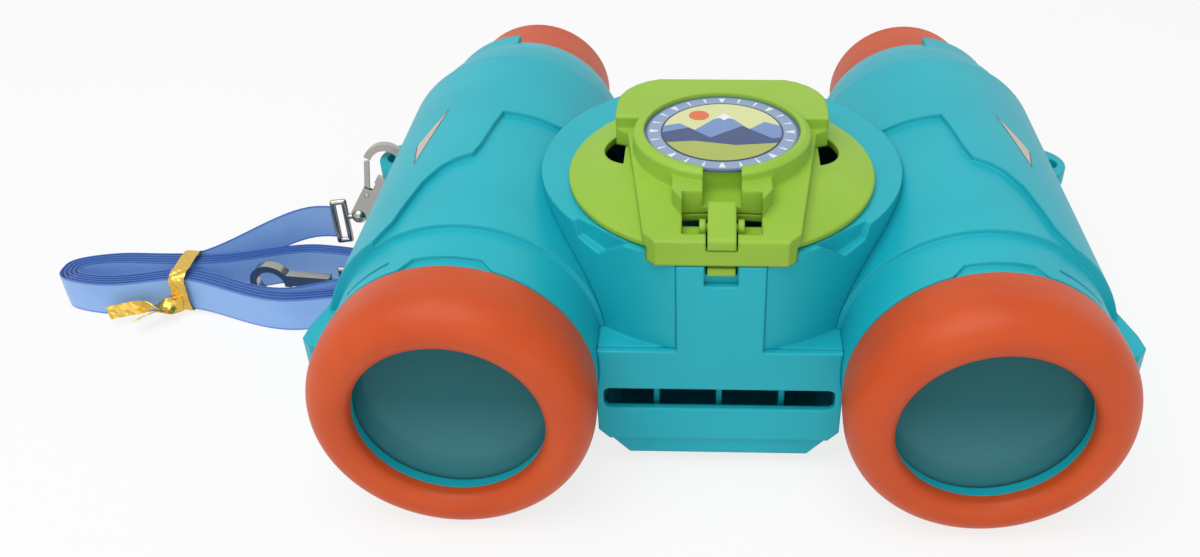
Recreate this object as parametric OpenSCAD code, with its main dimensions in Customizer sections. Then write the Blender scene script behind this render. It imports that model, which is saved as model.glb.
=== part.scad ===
// Toy binoculars with a lidded drum between the barrels and a neck ribbon tied in a hank.
// Millimetres. X points right, Y points from the objectives to the eyecups, Z points up.
// The origin is on the table, under the middle of the body.
// Places along the body are stations, counted from the front of the orange rings.

/* [Barrels] */
// Radius of the collar behind the ring
collar_r = 29.2; // [26:0.1:33]
// Step up from the collar to the middle section
mid_step = 1.1; // [0.7:0.1:1.6]
// Step up from the middle section to the raised rear section
rear_step = 1.2; // [0.8:0.1:1.8]
// Wall thickness of the barrel shells
shell_wall = 2; // [1.6:0.1:2.4]
// Length of the collar behind the ring
collar_len = 13.2; // [11:0.2:16]
// Length from the collar to the rear rim
body_len = 80.8; // [76:0.2:90]
// Length of the sloping shoulder
shoulder_len = 22.8; // [18:0.2:28]
// How much the shoulder narrows towards the eyecup
shoulder_drop = 6.2; // [5:0.1:7]
// Step from the rear section down to the shoulder
rim_step = 1; // [0.5:0.1:1.6]

/* [Objective] */
// How far the orange ring stands out beyond the collar
ring_over = 0.8; // [0.5:0.1:1.2]
// Length of the orange ring
ring_len = 17.5; // [15:0.1:20]
// Width of the ring's face, from its outside to the opening
ring_face = 10; // [9.4:0.1:11]
// Length of the nose that the ring is pushed on
nose_len = 13.3; // [11.5:0.1:13.6]
// How far that nose is set in from the collar
nose_step = 2.8; // [2.4:0.1:3.6]
// Wall of the nose round the lens
nose_wall = 3.5; // [3:0.1:4]
// Thickness of the objective lens
lens_t = 2; // [1.5:0.1:3]
// Depth of the retaining ring in front of the lens
retainer_len = 3; // [2:0.1:4]

/* [Eyepiece] */
// Length of the eyecup behind the shoulder
eyecup_len = 24.7; // [20:0.1:30]
// Step from the shoulder in to the eyecup
eyecup_step = 1.3; // [0.9:0.1:2]
// How much the eyecup narrows towards its rear end
eyecup_taper = 3.1; // [2:0.1:4]
// Width of the eyecup's rear face, round the hollow for the eye
eyecup_rim = 4.9; // [4:0.1:6]
// Depth of the hollow for the eye
eye_hollow_len = 12; // [9:0.1:14]
// Thickness of the eye lens
eye_lens_t = 2.5; // [2:0.1:3]
// How far the neck that plugs into the shoulder is set in from the eyecup
neck_step = 3; // [2.4:0.1:4]
// Length of that neck
neck_len = 6; // [4:0.1:8]

/* [Bridge] */
// How far the drum reaches over each barrel
drum_overlap = 14.2; // [12:0.1:16]
// Station of the front face of the bridge
front_station = 21.5; // [20.5:0.1:23]
// Thickness of the front plate
plate_t = 1.8; // [1.6:0.1:2.4]
// How far the front plate wraps over the sides of the barrels
plate_wrap = 0.8; // [0.4:0.1:1.2]
// Height of the lower edge of the front plate
plate_z = 8.8; // [8:0.1:10]
// Width of the sloped lower corners of the front plate
corner_w = 2.3; // [1.5:0.1:3]
// Height of the sloped lower corners of the front plate
corner_h = 2.5; // [1.5:0.1:3]
// Height of the shelf in front of the drum, above the barrel axes
shelf_rise = 4; // [2:0.1:6]
// Thickness of the shelf
shelf_t = 2; // [1.6:0.1:2.6]
// Half width of the middle column
column_half = 9.3; // [8:0.1:11]
// Half width of the notch for the latch nose
notch_half = 3.5; // [3.4:0.1:4.5]
// Depth of the notch for the latch nose
notch_depth = 5; // [4:0.1:6]
// Width of the front plate left at each end of its slot
slot_margin = 1.5; // [1.2:0.1:4]
// Height of the slot in the front plate
slot_h = 5.7; // [5:0.1:6]
// Corner radius of the slot
slot_corner = 1.6; // [1:0.1:2]
// Height of the middle of the slot
slot_z = 20.7; // [20:0.1:22]
// Thickness of a rib
rib_t = 1.3; // [1.2:0.1:2]
// Distance of the ribs behind the front plate
rib_back = 1.9; // [1:0.1:2.4]
// Height of the underside of the bottom tray
tray_z = 3.8; // [3:0.1:5]
// Width lost by the slope on each side of the tray
tray_slope = 4.5; // [4:0.1:6]

/* [Drum] */
// Width of the drum outside the lid
drum_rim = 6.2; // [5:0.1:8]
// How far the top of the drum lies below the top of the collars
drum_drop = 0.8; // [0:0.1:2]
// How much wider the drum is at its top
drum_flare = 0.8; // [0.2:0.1:1.4]
// Wall of the drum
drum_wall = 2.4; // [2:0.1:3]
// Width of the ledge that carries the lid
ledge_w = 3.3; // [2.5:0.1:4.5]
// Depth of the finger notches in the rim
finger_depth = 1.4; // [0.8:0.1:1.8]

/* [Lid] */
// Radius of the saucer under the lid
saucer_r = 34.3; // [30:0.1:40]
// Thickness of the saucer
saucer_t = 1.6; // [1.2:0.1:2]
// Rise of the saucer from its edge to the housing
saucer_rise = 3; // [2:0.1:4]
// Wall of the lid housing
lid_wall = 2; // [1.6:0.1:2.4]
// Half width of the lid housing at the front, as a share of the saucer's radius
lid_front_share = 0.467; // [0.44:0.005:0.52]
// Half width of the lid housing in the middle, as such a share
lid_mid_share = 0.618; // [0.59:0.002:0.64]
// Half width of the rear wings of the housing, as such a share
lid_rear_share = 0.7; // [0.67:0.005:0.74]
// Length of the lid housing, as such a share
lid_len_share = 1.743; // [1.68:0.005:1.78]
// Radius of the badge, as such a share
badge_share = 0.5; // [0.45:0.005:0.53]
// Height of the front skirt below the front ridge
skirt_h = 6; // [5:0.1:7]
// Height of the front ridge above the drum
ridge_h = 4.3; // [3.8:0.1:5]
// Height of the top of the housing's slope above the drum
slope_h = 8.1; // [7:0.1:9]
// Height of the housing's rear plateau above the drum
lid_rear_h = 11.3; // [10.4:0.1:12]
// Height of the round boss above the drum
boss_h = 11.8; // [11:0.1:13]
// Width of the rim round the badge
boss_rim = 2; // [1.2:0.1:3]
// Thickness of the badge
badge_t = 0.5; // [0.3:0.1:0.8]
// Depth of the badge below its rim
badge_sink = 0.9; // [0.3:0.1:1.2]
// Radius of the lid hinge pin
hinge_pin_r = 1.25; // [1:0.05:1.4]
// Outer radius of the hinge knuckles
knuckle_r = 2.2; // [2:0.1:2.6]
// Half length of the middle knuckle
knuckle_half = 9.2; // [7:0.1:11]
// Length of each outer knuckle
ear_len = 4; // [3:0.1:6]

/* [Latch] */
// Half width of the latch lever
lever_half = 2.9; // [2.5:0.1:3]
// Distance from the front of the lid to the latch pivot
pivot_station = 5.9; // [5.5:0.1:6.3]
// Height of the latch pivot above the drum
pivot_h = 3.7; // [3.5:0.1:4]
// Radius of the latch pin
latch_pin_r = 1; // [0.8:0.05:1.05]
// Half width of the opening round the lever
pocket_half = 8.2; // [7:0.1:9]
// Length of the lever behind the front of the lid
lever_len = 10.4; // [9.5:0.1:11]
// How far the latch nose reaches below the lid skirt
nose_drop = 3.1; // [2.6:0.1:3.6]

/* [Strap lugs] */
// Distance from the lug holes to the rear rim of the barrel
lug_back = 8.5; // [5:0.2:13]
// Radius of the lug hole
lug_hole_r = 3; // [2.6:0.1:3.3]
// Radius of the rounded lug
lug_r = 8.5; // [7.5:0.1:9.5]
// Thickness of the lug
lug_t = 4; // [3:0.1:5]
// Thickness of the lug wall outside the hole
lug_wall = 2; // [1.6:0.1:2.6]
// How far the lug hole reaches into the skin of the barrel
lug_inset = 2; // [0:0.1:2.2]

/* [Ribbon] */
// Width of the ribbon
ribbon_w = 10; // [8:0.1:10]
// Thickness of the ribbon
ribbon_t = 0.4; // [0.3:0.05:0.5]
// Number of full loops in the hank
ribbon_loops = 4; // [3:1:4]
// Radius of the wire of the strap rings
ring_wire_r = 0.8; // [0.6:0.05:0.9]
// Radius inside the bow of a hook
bow_r = 4; // [3.6:0.1:4.4]
// Width of the metal in a hook
hook_bar = 2; // [1.6:0.1:2.4]
// Thickness of a hook
hook_t = 2.6; // [2:0.1:3]
// Distance from the bow to the eyelet of a hook
hook_len = 17; // [17:0.1:20]

/* [Hidden] */
// Round shapes are exact, this only sets how fine they are drawn
$fn = 96;
// Gap between pieces of one body that lie against each other
seam = 0.06;
// Gap between pieces that move past each other
run_gap = 0.35;
// Running clearance of a pin in its bore, on the radius
pin_fit = 0.05;
// Overshoot of a cut
cut = 1;

// Stations along the barrel
collar_station = ring_len + collar_len;
rim_station = collar_station + body_len;
shoulder_station = rim_station + shoulder_len;
overall_len = shoulder_station + eyecup_len;
nose_station = ring_len - nose_len;
lens_station = nose_station + retainer_len;
lens_back = lens_station + lens_t;
// Station where the rear section starts on the inner side, and on the underside
step_inner = collar_station + 0.61 * body_len;
step_under = collar_station + body_len / 3;
// Size of a cut that takes away everything on one side
reach = 2 * overall_len;

// Radii of the barrel
inner_r = collar_r - shell_wall;
mid_r = collar_r + mid_step;
rear_r = mid_r + rear_step;
shoulder_end_r = rear_r - shoulder_drop;
ring_r = collar_r + ring_over;
opening_r = ring_r - ring_face;
nose_r = collar_r - nose_step;
lens_r = nose_r - nose_wall;
eyecup_r = shoulder_end_r - eyecup_step;
eyecup_end_r = eyecup_r - eyecup_taper;
eye_hollow_r = eyecup_end_r - eyecup_rim;
neck_r = eyecup_r - neck_step;
// The rings stand on the table
axis_z = ring_r;

// Bridge and drum
drum_r = saucer_r + drum_rim;
drum_z = axis_z + collar_r - drum_drop;
half_spacing = drum_r + collar_r - drum_overlap;
shelf_z = axis_z + shelf_rise;
plate_half = half_spacing - collar_r + plate_wrap;
plate_back = front_station + plate_t;
slot_half = plate_half - slot_margin;
rib_step = 0.547 * slot_half;
drum_station = front_station + drum_r;
drum_top_r = drum_r + drum_flare;
tray_half = plate_half - corner_w - seam;
tray_back = drum_station + drum_r - 2;
saucer_station = front_station + saucer_r;
ledge_r = saucer_r - ledge_w;

// Lid, with heights from the table
lid_bottom = drum_z + run_gap;
saucer_edge_z = lid_bottom + saucer_t;
ridge_z = drum_z + ridge_h;
slope_z = drum_z + slope_h;
lid_rear_z = drum_z + lid_rear_h;
boss_z = drum_z + boss_h;
badge_z = boss_z - badge_sink - badge_t;
lid_front_half = lid_front_share * saucer_r;
lid_mid_half = lid_mid_share * saucer_r;
lid_rear_half = lid_rear_share * saucer_r;
lid_len = lid_len_share * saucer_r;
badge_r = badge_share * saucer_r;
boss_r = badge_r + boss_rim;
// Radius where the cone of the saucer ends
cone_r = 0.56 * saucer_r;
skirt_z = ridge_z - skirt_h;
column_z = skirt_z - run_gap;
lid_rear = front_station + lid_len;
skirt_back = front_station + lid_wall;
// Stations of the knee in the housing's slope, of its wings and of the badge
knee_y = front_station + lid_len / 3;
wing_y = front_station + 0.674 * lid_len;
badge_y = saucer_station - 0.4;
hinge_station = saucer_station + saucer_r + knuckle_r + run_gap;
hinge_z = drum_z + knuckle_r + run_gap;
pivot_y = front_station + pivot_station;
pivot_z = drum_z + pivot_h;
lever_back = front_station + lever_len;
nose_z = skirt_z - nose_drop;
stem_front = skirt_back + 1.2;
stem_back = stem_front + 2.3;
toe_front = front_station + 0.8;
// Leaves room under the skirt for the swing of the toe
toe_z = skirt_z - 1;
cheek_t = 2;
latch_ear_t = 1.3;
latch_ear_x = lever_half + run_gap + seam;
fork_half = 10.4;
fork_tip_half = 8.2;
fork_gap = 4;
fork_front = front_station + 7.6;
fork_z = boss_z - 2.3;

// Lugs
lug_z = axis_z + 1;
lug_station = rim_station - lug_back;
lug_y = lug_station - overall_len / 2;
lug_hole_x = half_spacing + rear_r + lug_hole_r - lug_inset;
lug_out_x = lug_hole_x + lug_hole_r + lug_wall;

// Screws
post_r = 3.2;
screw_r = 1.4;
screw_head_r = 2.6;
screw_head_t = 1.6;
screw_bite = 8;
tray_screw_len = 12;
post_x = half_spacing - inner_r + 5.2;
post_stations = [collar_station + 11.3, rim_station - 13.5];
tray_post_x = 13;
tray_post_stations = [plate_back + 20.7, tray_back - 16.5];

// Hank of ribbon on the table, left of the body
hank_x = -lug_out_x - 42;
hank_y = lug_y - 19;
hank_a = 46;
hank_pitch = 1.15;
hank_waist_x = hank_x - 11;
hank_waist = 6.4;
hank_left = 9.6;
hank_right = 15.2;
hank_blend = 34;
hank_round = 0.62;
hank_start = 54;
hank_stop = 338;
hank_start_turns = -0.12;
loop_rings = 24;
table_gap = 0.05;
tie_lift = 1.1;
tie_reach = 11;
tie_w = 4.5;
tie_t = 0.7;
near_lift = lug_z + lug_t / 2 - 20.5;
far_lift = 2;
// How far the inner end of the ribbon peels off the layer beside it
end_peel = 1;

// Hooks
near_bow = [-lug_out_x + lug_wall / 2 - 0.1, lug_y, lug_z + lug_t / 2];
near_turn = [-14, 30.7, 0];
far_bow = [hank_x + 12.6, hank_y - 1.2, ribbon_w / 2 + table_gap + far_lift];
far_turn = [0, -90, -6];
ball_r = 2.2;
ball_stem = 3.6;
gate_pin_r = 0.6;
gate_t = 1;
gate_slot = 1.3;
gate_pivot = [-0.7, -10.2];
gate_tip = [-4.75, -1.5];

turquoise = "#3fb0bd";
orange = "#d9552b";
green = "#9cc648";
chrome = "#c8ccd0";
ribbon_blue = "#6f9ad0";

// Puts children at a station of the body
module at(station) {
    translate([0, station - overall_len / 2, 0])
        children();
}

// Solid of revolution about a barrel axis, drawn as radius against station
module turned(side, points) {
    translate([side * half_spacing, -overall_len / 2, axis_z])
        rotate([-90, 0, 0])
            rotate_extrude()
                polygon(points);
}

// Straight round bar along a barrel axis
module barrel_bar(side, r, from, to) {
    turned(side, [[0, from], [r, from], [r, to], [0, to]]);
}

// Side profile of station against height, drawn across the body
module across(half, points) {
    translate([-half, -overall_len / 2, 0])
        rotate([90, 0, 90])
            linear_extrude(2 * half)
                polygon(points);
}

// Points of an arc, from one angle to another
function arc(cx, cy, r, a0, a1, n) =
    [for (i = [0 : n]) [cx + r * cos(a0 + (a1 - a0) * i / n), cy + r * sin(a0 + (a1 - a0) * i / n)]];

// Everything on one side of the parting plane
module half_space(top) {
    translate([-reach / 2, -reach / 2, top ? axis_z : axis_z - reach])
        cube(reach);
}

// Outer skin of a barrel without the raised rear section
module barrel_base(side) {
    turned(side, concat(
        [[0, nose_station], [nose_r, nose_station], [nose_r, ring_len + seam], [collar_r, ring_len + seam]],
        [[collar_r, collar_station], [mid_r, collar_station], [mid_r, rim_station]],
        [[rear_r - rim_step, rim_station]],
        [[rear_r - rim_step - 1.6, rim_station + shoulder_len / 2]],
        [[shoulder_end_r, shoulder_station], [0, shoulder_station]]
    ));
}

// Plan of the raised rear section, which steps back over the top of the barrel
module rear_plan(side) {
    far = 2 * rear_r;
    scale([side, 1])
        polygon([
            [far, collar_station], [0.58 * rear_r, collar_station], [0.47 * rear_r, collar_station + 0.055 * body_len],
            [0.42 * rear_r, collar_station + 0.135 * body_len], [0.35 * rear_r, collar_station + 0.23 * body_len],
            [0.247 * rear_r, collar_station + 0.299 * body_len], [0.151 * rear_r, collar_station + 0.33 * body_len],
            [0.039 * rear_r, collar_station + 0.352 * body_len], [0, collar_station + 0.417 * body_len],
            [-0.04 * rear_r, collar_station + 0.53 * body_len], [-0.08 * rear_r, step_inner],
            [-far, step_inner], [-far, rim_station], [far, rim_station]
        ]);
}

// Raised rear section
module rear_skin(side, top) {
    intersection() {
        turned(side, [[0, collar_station], [rear_r, collar_station], [rear_r, rim_station], [0, rim_station]]);
        if (top)
            translate([side * half_spacing, -overall_len / 2, axis_z])
                linear_extrude(2 * rear_r)
                    rear_plan(side);
        else
            translate([side * half_spacing - 2 * rear_r, step_under - overall_len / 2, axis_z - 2 * rear_r])
                cube([4 * rear_r, rim_station - step_under, 2 * rear_r]);
    }
}

// Hollow inside a barrel, with seats for the lens and the eyecup neck
module barrel_hollow(side) {
    seat = 1.4;
    turned(side, [
        [0, nose_station - cut], [lens_r + seam, nose_station - cut], [lens_r + seam, lens_back + seam],
        [lens_r - seat, lens_back + seam], [lens_r - seat, lens_back + seat],
        [inner_r, ring_len + shell_wall + cut], [inner_r, rim_station],
        [shoulder_end_r - shell_wall - cut, shoulder_station - neck_len - seam],
        [neck_r + seam, shoulder_station - neck_len - seam], [neck_r + seam, shoulder_station + cut],
        [0, shoulder_station + cut]
    ]);
}

// Shallow trapezoid and short groove in the collar
module collar_marks(side) {
    depth = 0.8;
    difference() {
        translate([side * half_spacing, -overall_len / 2, axis_z])
            linear_extrude(2 * collar_r)
                polygon([[-10.5, ring_len - cut], [-7, ring_len + 3], [7, ring_len + 3], [10.5, ring_len - cut]]);
        barrel_bar(side, collar_r - depth, 0, collar_station);
    }
    difference() {
        translate([side * half_spacing, -overall_len / 2, axis_z])
            scale([side, 1, 1])
                linear_extrude(2 * collar_r)
                    polygon([[12.5, ring_len + 3.6], [22, ring_len + 2.4], [22, ring_len + 3.4], [12.5, ring_len + 4.6]]);
        barrel_bar(side, collar_r - depth, 0, collar_station);
    }
}

// Wedge grip on the outer side, behind the ring
module side_grip(side) {
    grip_half = 7;
    translate([side * half_spacing, -overall_len / 2, axis_z - grip_half])
        scale([side, 1, 1])
            linear_extrude(2 * grip_half)
                polygon([
                    [inner_r + 1, ring_len + seam], [collar_r + 2.6, ring_len + 0.8], [collar_r + 4.8, ring_len + 3.6],
                    [collar_r + 4.4, ring_len + 8], [mid_r + 0.4, ring_len + 19], [inner_r + 1, ring_len + 19]
                ]);
}

// Raised band that carries the shoulder further back on the outer side
module rear_tab(side) {
    tab_len = 3.6;
    intersection() {
        turned(side, [
            [neck_r + 3.2, shoulder_station - 7], [shoulder_end_r + 1.5, shoulder_station - 7],
            [shoulder_end_r + 0.7, shoulder_station + tab_len], [neck_r + 3.2, shoulder_station + tab_len]
        ]);
        translate([side * half_spacing, -overall_len / 2, axis_z])
            scale([side, 1, 1])
                linear_extrude(2 * rear_r)
                    polygon([[2, 0], [2, overall_len], [2 * rear_r, overall_len], [2 * rear_r, 0]]);
    }
}

// Loop for the strap hook
module lug(side) {
    at(lug_station)
        translate([side * (lug_out_x - lug_r), 0, lug_z])
            cylinder(h = lug_t, r = lug_r);
}

// Hole of the lug, with room for a hook in the skin of the barrel above and below it
module lug_hole(side) {
    room_r = lug_hole_r + 0.6;
    at(lug_station)
        translate([side * lug_hole_x, 0, lug_z]) {
            cylinder(h = lug_t, r = lug_hole_r);
            translate([0, 0, -lug_t])
                cylinder(h = lug_t, r = room_r);
            translate([0, 0, lug_t])
                cylinder(h = 2 * lug_t, r = room_r);
        }
}

// Place of each screw post inside a barrel, near the bridge
module at_posts(side) {
    for (station = post_stations)
        at(station)
            translate([side * post_x, 0, 0])
                children();
}

// Half shell of a barrel
module barrel_half(side, top) {
    pilot_len = screw_bite + 1;
    color(turquoise)
        difference() {
            union() {
                difference() {
                    union() {
                        barrel_base(side);
                        rear_skin(side, top);
                        if (top) {
                            rear_tab(side);
                            lug(side);
                        }
                        side_grip(side);
                    }
                    barrel_hollow(side);
                    if (top)
                        collar_marks(side);
                }
                intersection() {
                    at_posts(side)
                        cylinder(h = 4 * axis_z, r = post_r);
                    barrel_bar(side, inner_r + shell_wall / 2, collar_station, rim_station);
                }
            }
            half_space(!top);
            lug_hole(side);
            // Nothing reaches below the table, which leaves a long flat under each barrel
            translate([-reach / 2, -reach / 2, -reach])
                cube(reach);
            at_posts(side)
                translate([0, 0, -cut])
                    cylinder(h = axis_z + pilot_len + cut, r = screw_r + seam);
            at_posts(side)
                translate([0, 0, -cut])
                    cylinder(h = axis_z / 2 + cut, r = screw_head_r + 2 * seam);
        }
}

// Fat rubbery ring pushed over the nose of a barrel
module objective_ring(side) {
    bulge = 8.6;
    lip = 1.5;
    back_r = collar_r - 0.3;
    tip_r = opening_r + 3.6;
    bore_r = nose_r + seam;
    color(orange)
        turned(side, concat(
            [[opening_r, lip + 1.2], [opening_r + 0.5, lip]],
            [for (a = [100 : -10 : 0])
                [tip_r + (ring_r - tip_r) * cos(a), bulge - bulge * sin(a)]],
            [for (a = [10 : 20 : 70])
                [back_r + (ring_r - back_r) * cos(a), bulge + (ring_len - bulge) * sin(a)]],
            [[back_r - 0.2, ring_len], [bore_r, ring_len], [bore_r, nose_station - seam], [opening_r, nose_station - seam]]
        ));
}

// Flat acrylic lens, a little crowned towards the front
module objective_lens(side) {
    edge = 0.3;
    color("#2e6466", 0.6)
        turned(side, [
            [0, lens_station + seam], [lens_r - edge, lens_station + seam],
            [lens_r, lens_station + edge], [lens_r, lens_back], [0, lens_back]
        ]);
}

// Ring that holds the lens in the nose
module lens_retainer(side) {
    bevel = 0.4;
    color(turquoise)
        turned(side, [
            [opening_r + bevel, nose_station + seam], [lens_r, nose_station + seam], [lens_r, lens_station],
            [opening_r + bevel, lens_station]
        ]);
}

// Soft eyecup plugged into the shoulder
module eyecup(side) {
    end = overall_len;
    start = shoulder_station + seam;
    bore_r = eye_hollow_r - 2.5;
    edge = 2;
    color(orange)
        turned(side, concat(
            [[bore_r, start - neck_len], [neck_r, start - neck_len], [neck_r, start], [eyecup_r - 0.8, start]],
            [[eyecup_r - 1.2, start + 4], [eyecup_end_r + 0.4, end - 3 * edge]],
            arc(eyecup_end_r - edge, end - edge, edge, 0, 90, 4),
            [[eye_hollow_r + 1, end], [eye_hollow_r, end - 1], [eye_hollow_r, end - eye_hollow_len]],
            [[bore_r, end - eye_hollow_len]]
        ));
}

// Lens at the bottom of the eyecup's hollow
module eye_lens(side) {
    front = overall_len - eye_hollow_len + seam;
    color("#3a6f73", 0.6)
        turned(side, [
            [0, front], [eye_hollow_r - seam, front], [eye_hollow_r - seam, front + eye_lens_t * 0.6],
            [eye_hollow_r * 0.6, front + eye_lens_t * 0.9], [0, front + eye_lens_t]
        ]);
}

// Space that the two barrels take up, for fitting the bridge between them
module barrel_space(step) {
    for (side = [-1, 1]) {
        barrel_bar(side, collar_r + seam, 0, collar_station + seam);
        barrel_bar(side, mid_r + seam, collar_station - seam, step + seam);
        barrel_bar(side, rear_r + seam, step - seam, rim_station + cut);
    }
}

// T-shaped front plate with a slot below and a notch for the latch at its top
module front_plate() {
    color(turquoise)
        difference() {
            at(plate_back)
                rotate([90, 0, 0])
                    linear_extrude(plate_t)
                        difference() {
                            union() {
                                polygon([
                                    [-plate_half, shelf_z], [-plate_half, plate_z + corner_h], [-plate_half + corner_w, plate_z],
                                    [plate_half - corner_w, plate_z], [plate_half, plate_z + corner_h], [plate_half, shelf_z]
                                ]);
                                translate([-column_half, plate_z])
                                    square([2 * column_half, column_z - plate_z]);
                            }
                            translate([-slot_half + slot_corner, slot_z - slot_h / 2])
                                square([2 * (slot_half - slot_corner), slot_h]);
                            translate([-slot_half, slot_z - slot_h / 2 + slot_corner])
                                square([2 * slot_half, slot_h - 2 * slot_corner]);
                            for (end = [-1, 1], level = [-1, 1])
                                translate([end * (slot_half - slot_corner), slot_z + level * (slot_h / 2 - slot_corner)])
                                    circle(r = slot_corner);
                            translate([-notch_half, column_z - notch_depth])
                                square([2 * notch_half, notch_depth + cut]);
                        }
            barrel_space(step_inner);
        }
}

// Outline of a finger notch on the developed wall of the drum
module finger_notch(side) {
    at(drum_station)
        rotate([0, 0, side * 39.4])
            translate([0, -drum_r + finger_depth, drum_z])
                rotate([90, 0, 0])
                    linear_extrude(2 * finger_depth + cut)
                        scale([side, 1])
                            polygon([[-7.7, cut], [-7.7, 0.4], [-0.5, -4.7], [6.2, -3.4], [7.6, cut]]);
}

// Drum with its shelf, a ledge for the lid and the outer hinge knuckles
module drum() {
    color(turquoise)
        difference() {
            union() {
                difference() {
                    union() {
                        at(drum_station)
                            translate([0, 0, shelf_z])
                                cylinder(h = drum_z - shelf_z, r1 = drum_r, r2 = drum_top_r);
                        at(plate_back + seam)
                            translate([-plate_half, 0, shelf_z - shelf_t])
                                cube([2 * plate_half, tray_back - plate_back - seam, shelf_t]);
                    }
                    at(drum_station)
                        translate([0, 0, shelf_z])
                            cylinder(h = drum_z - shelf_z - shelf_t, r = drum_r - drum_wall);
                    at(saucer_station)
                        translate([0, 0, shelf_z + cut])
                            cylinder(h = drum_z - shelf_z, r = ledge_r);
                    for (side = [-1, 1])
                        finger_notch(side);
                    // Room for the lid's front skirt and for the column of the front plate
                    at(front_station - drum_r)
                        translate([-lid_front_half - run_gap, 0, column_z])
                            cube([2 * (lid_front_half + run_gap), drum_r + lid_wall + 2 * run_gap, drum_z]);
                    at(front_station - drum_r)
                        translate([-lever_half - run_gap, 0, nose_z - run_gap])
                            cube([2 * (lever_half + run_gap), stem_back + 1.5 - front_station + drum_r, drum_z]);
                    at(front_station - drum_r)
                        translate([-column_half - seam, 0, 0])
                            cube([2 * (column_half + seam), drum_r + plate_t + seam, 2 * drum_z]);
                    at(front_station - drum_r)
                        translate([-plate_half - seam, 0, 0])
                            cube([2 * (plate_half + seam), drum_r + plate_t + seam, shelf_z]);
                }
                hinge_ears();
                tray_posts();
            }
            barrel_space(step_inner);
            at(hinge_station)
                translate([0, 0, hinge_z])
                    rotate([0, 90, 0])
                        cylinder(h = 4 * knuckle_half, r = hinge_pin_r + pin_fit / 2, center = true);
            at_tray_posts()
                translate([0, 0, -cut])
                    cylinder(h = shelf_z - shelf_t + cut, r = screw_r + seam);
        }
}

module hinge_ears() {
    for (side = [-1, 1])
        at(hinge_station)
            translate([side * (knuckle_half + run_gap + ear_len / 2), 0, hinge_z]) {
                rotate([0, 90, 0])
                    cylinder(h = ear_len, r = knuckle_r, center = true);
                translate([-ear_len / 2, -knuckle_r, drum_z - hinge_z - shelf_t / 2])
                    cube([ear_len, 2 * knuckle_r, hinge_z - drum_z + shelf_t / 2]);
            }
}

module at_tray_posts() {
    for (side = [-1, 1], station = tray_post_stations)
        at(station)
            translate([side * tray_post_x, 0, 0])
                children();
}

module tray_posts() {
    at_tray_posts()
        translate([0, 0, tray_z + shelf_t + seam])
            cylinder(h = shelf_z - shelf_t / 2 - tray_z - shelf_t - seam, r = post_r);
}

// Tray that closes the bridge from below and behind, with the ribs behind the slot
module bottom_tray() {
    floor_t = shelf_t;
    length = tray_back - front_station - cut;
    wall_top = shelf_z - shelf_t - seam;
    rib_len = 12;
    wall_z = plate_z - seam - 0.5;
    slot_top = slot_z + slot_h / 2;
    color(turquoise)
        difference() {
            union() {
                // Wall across the front end, below the front plate
                at(tray_back - length + floor_t)
                    rotate([90, 0, 0])
                        linear_extrude(floor_t)
                            polygon([
                                [-tray_half, plate_z - seam], [-tray_half + tray_slope, tray_z],
                                [tray_half - tray_slope, tray_z], [tray_half, plate_z - seam]
                            ]);
                at(tray_back)
                    rotate([90, 0, 0])
                        linear_extrude(length)
                            polygon([
                                [-tray_half, plate_z - seam], [-tray_half + tray_slope, tray_z],
                                [tray_half - tray_slope, tray_z], [tray_half, plate_z - seam],
                                [tray_half - floor_t, plate_z - seam], [tray_half - tray_slope - cut, tray_z + floor_t],
                                [-tray_half + tray_slope + cut, tray_z + floor_t], [-tray_half + floor_t, plate_z - seam]
                            ]);
                at(tray_back - floor_t)
                    translate([-plate_half, 0, plate_z - floor_t])
                        cube([2 * plate_half, floor_t, wall_top - plate_z + floor_t]);
                for (rib = [-1 : 1])
                    at(plate_back + rib_back)
                        translate([rib * rib_step - rib_t / 2, 0, tray_z + floor_t / 2])
                            cube([rib_t, rib_len, slot_z + slot_h - tray_z - floor_t / 2]);
                // Side walls, which bend outwards to clear the ends of the slot
                for (side = [-1, 1])
                    at(tray_back)
                        scale([side, 1, 1])
                            rotate([90, 0, 0])
                                linear_extrude(tray_back - plate_back - seam)
                                    polygon([
                                        [tray_half - floor_t, wall_z], [tray_half - floor_t / 4, wall_z],
                                        [plate_half - seam, plate_z + corner_h], [plate_half - seam, wall_top],
                                        [slot_half - 1.3, wall_top], [slot_half - 1.3, slot_top + 2.5],
                                        [slot_half + 0.1, slot_top + 0.7], [slot_half + 0.1, plate_z + corner_h + 1.4],
                                        [tray_half - floor_t, wall_z + floor_t]
                                    ]);
            }
            barrel_space(step_under);
            at_tray_posts()
                translate([0, 0, -cut])
                    cylinder(h = tray_z + 2 * floor_t, r = screw_r + seam);
            at_tray_posts()
                translate([0, 0, -cut])
                    cylinder(h = tray_z + cut + floor_t / 2, r = screw_head_r + seam);
        }
}

// Pan-head screw, head down
module screw(length) {
    color("#b9bdc2")
        difference() {
            union() {
                cylinder(h = screw_head_t, r = screw_head_r);
                cylinder(h = screw_head_t + length, r = screw_r);
            }
            for (turn = [0, 90])
                rotate([0, 0, turn])
                    translate([-screw_head_r / 2, -0.3, -cut])
                        cube([screw_head_r, 0.6, cut + screw_head_t / 2]);
        }
}

module barrel_screws() {
    grip = axis_z / 2 + screw_bite;
    for (side = [-1, 1])
        at_posts(side)
            translate([0, 0, axis_z / 2 - screw_head_t - seam])
                screw(grip);
}

module tray_screws() {
    at_tray_posts()
        translate([0, 0, tray_z + shelf_t / 2 - screw_head_t - seam])
            screw(tray_screw_len);
}

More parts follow.
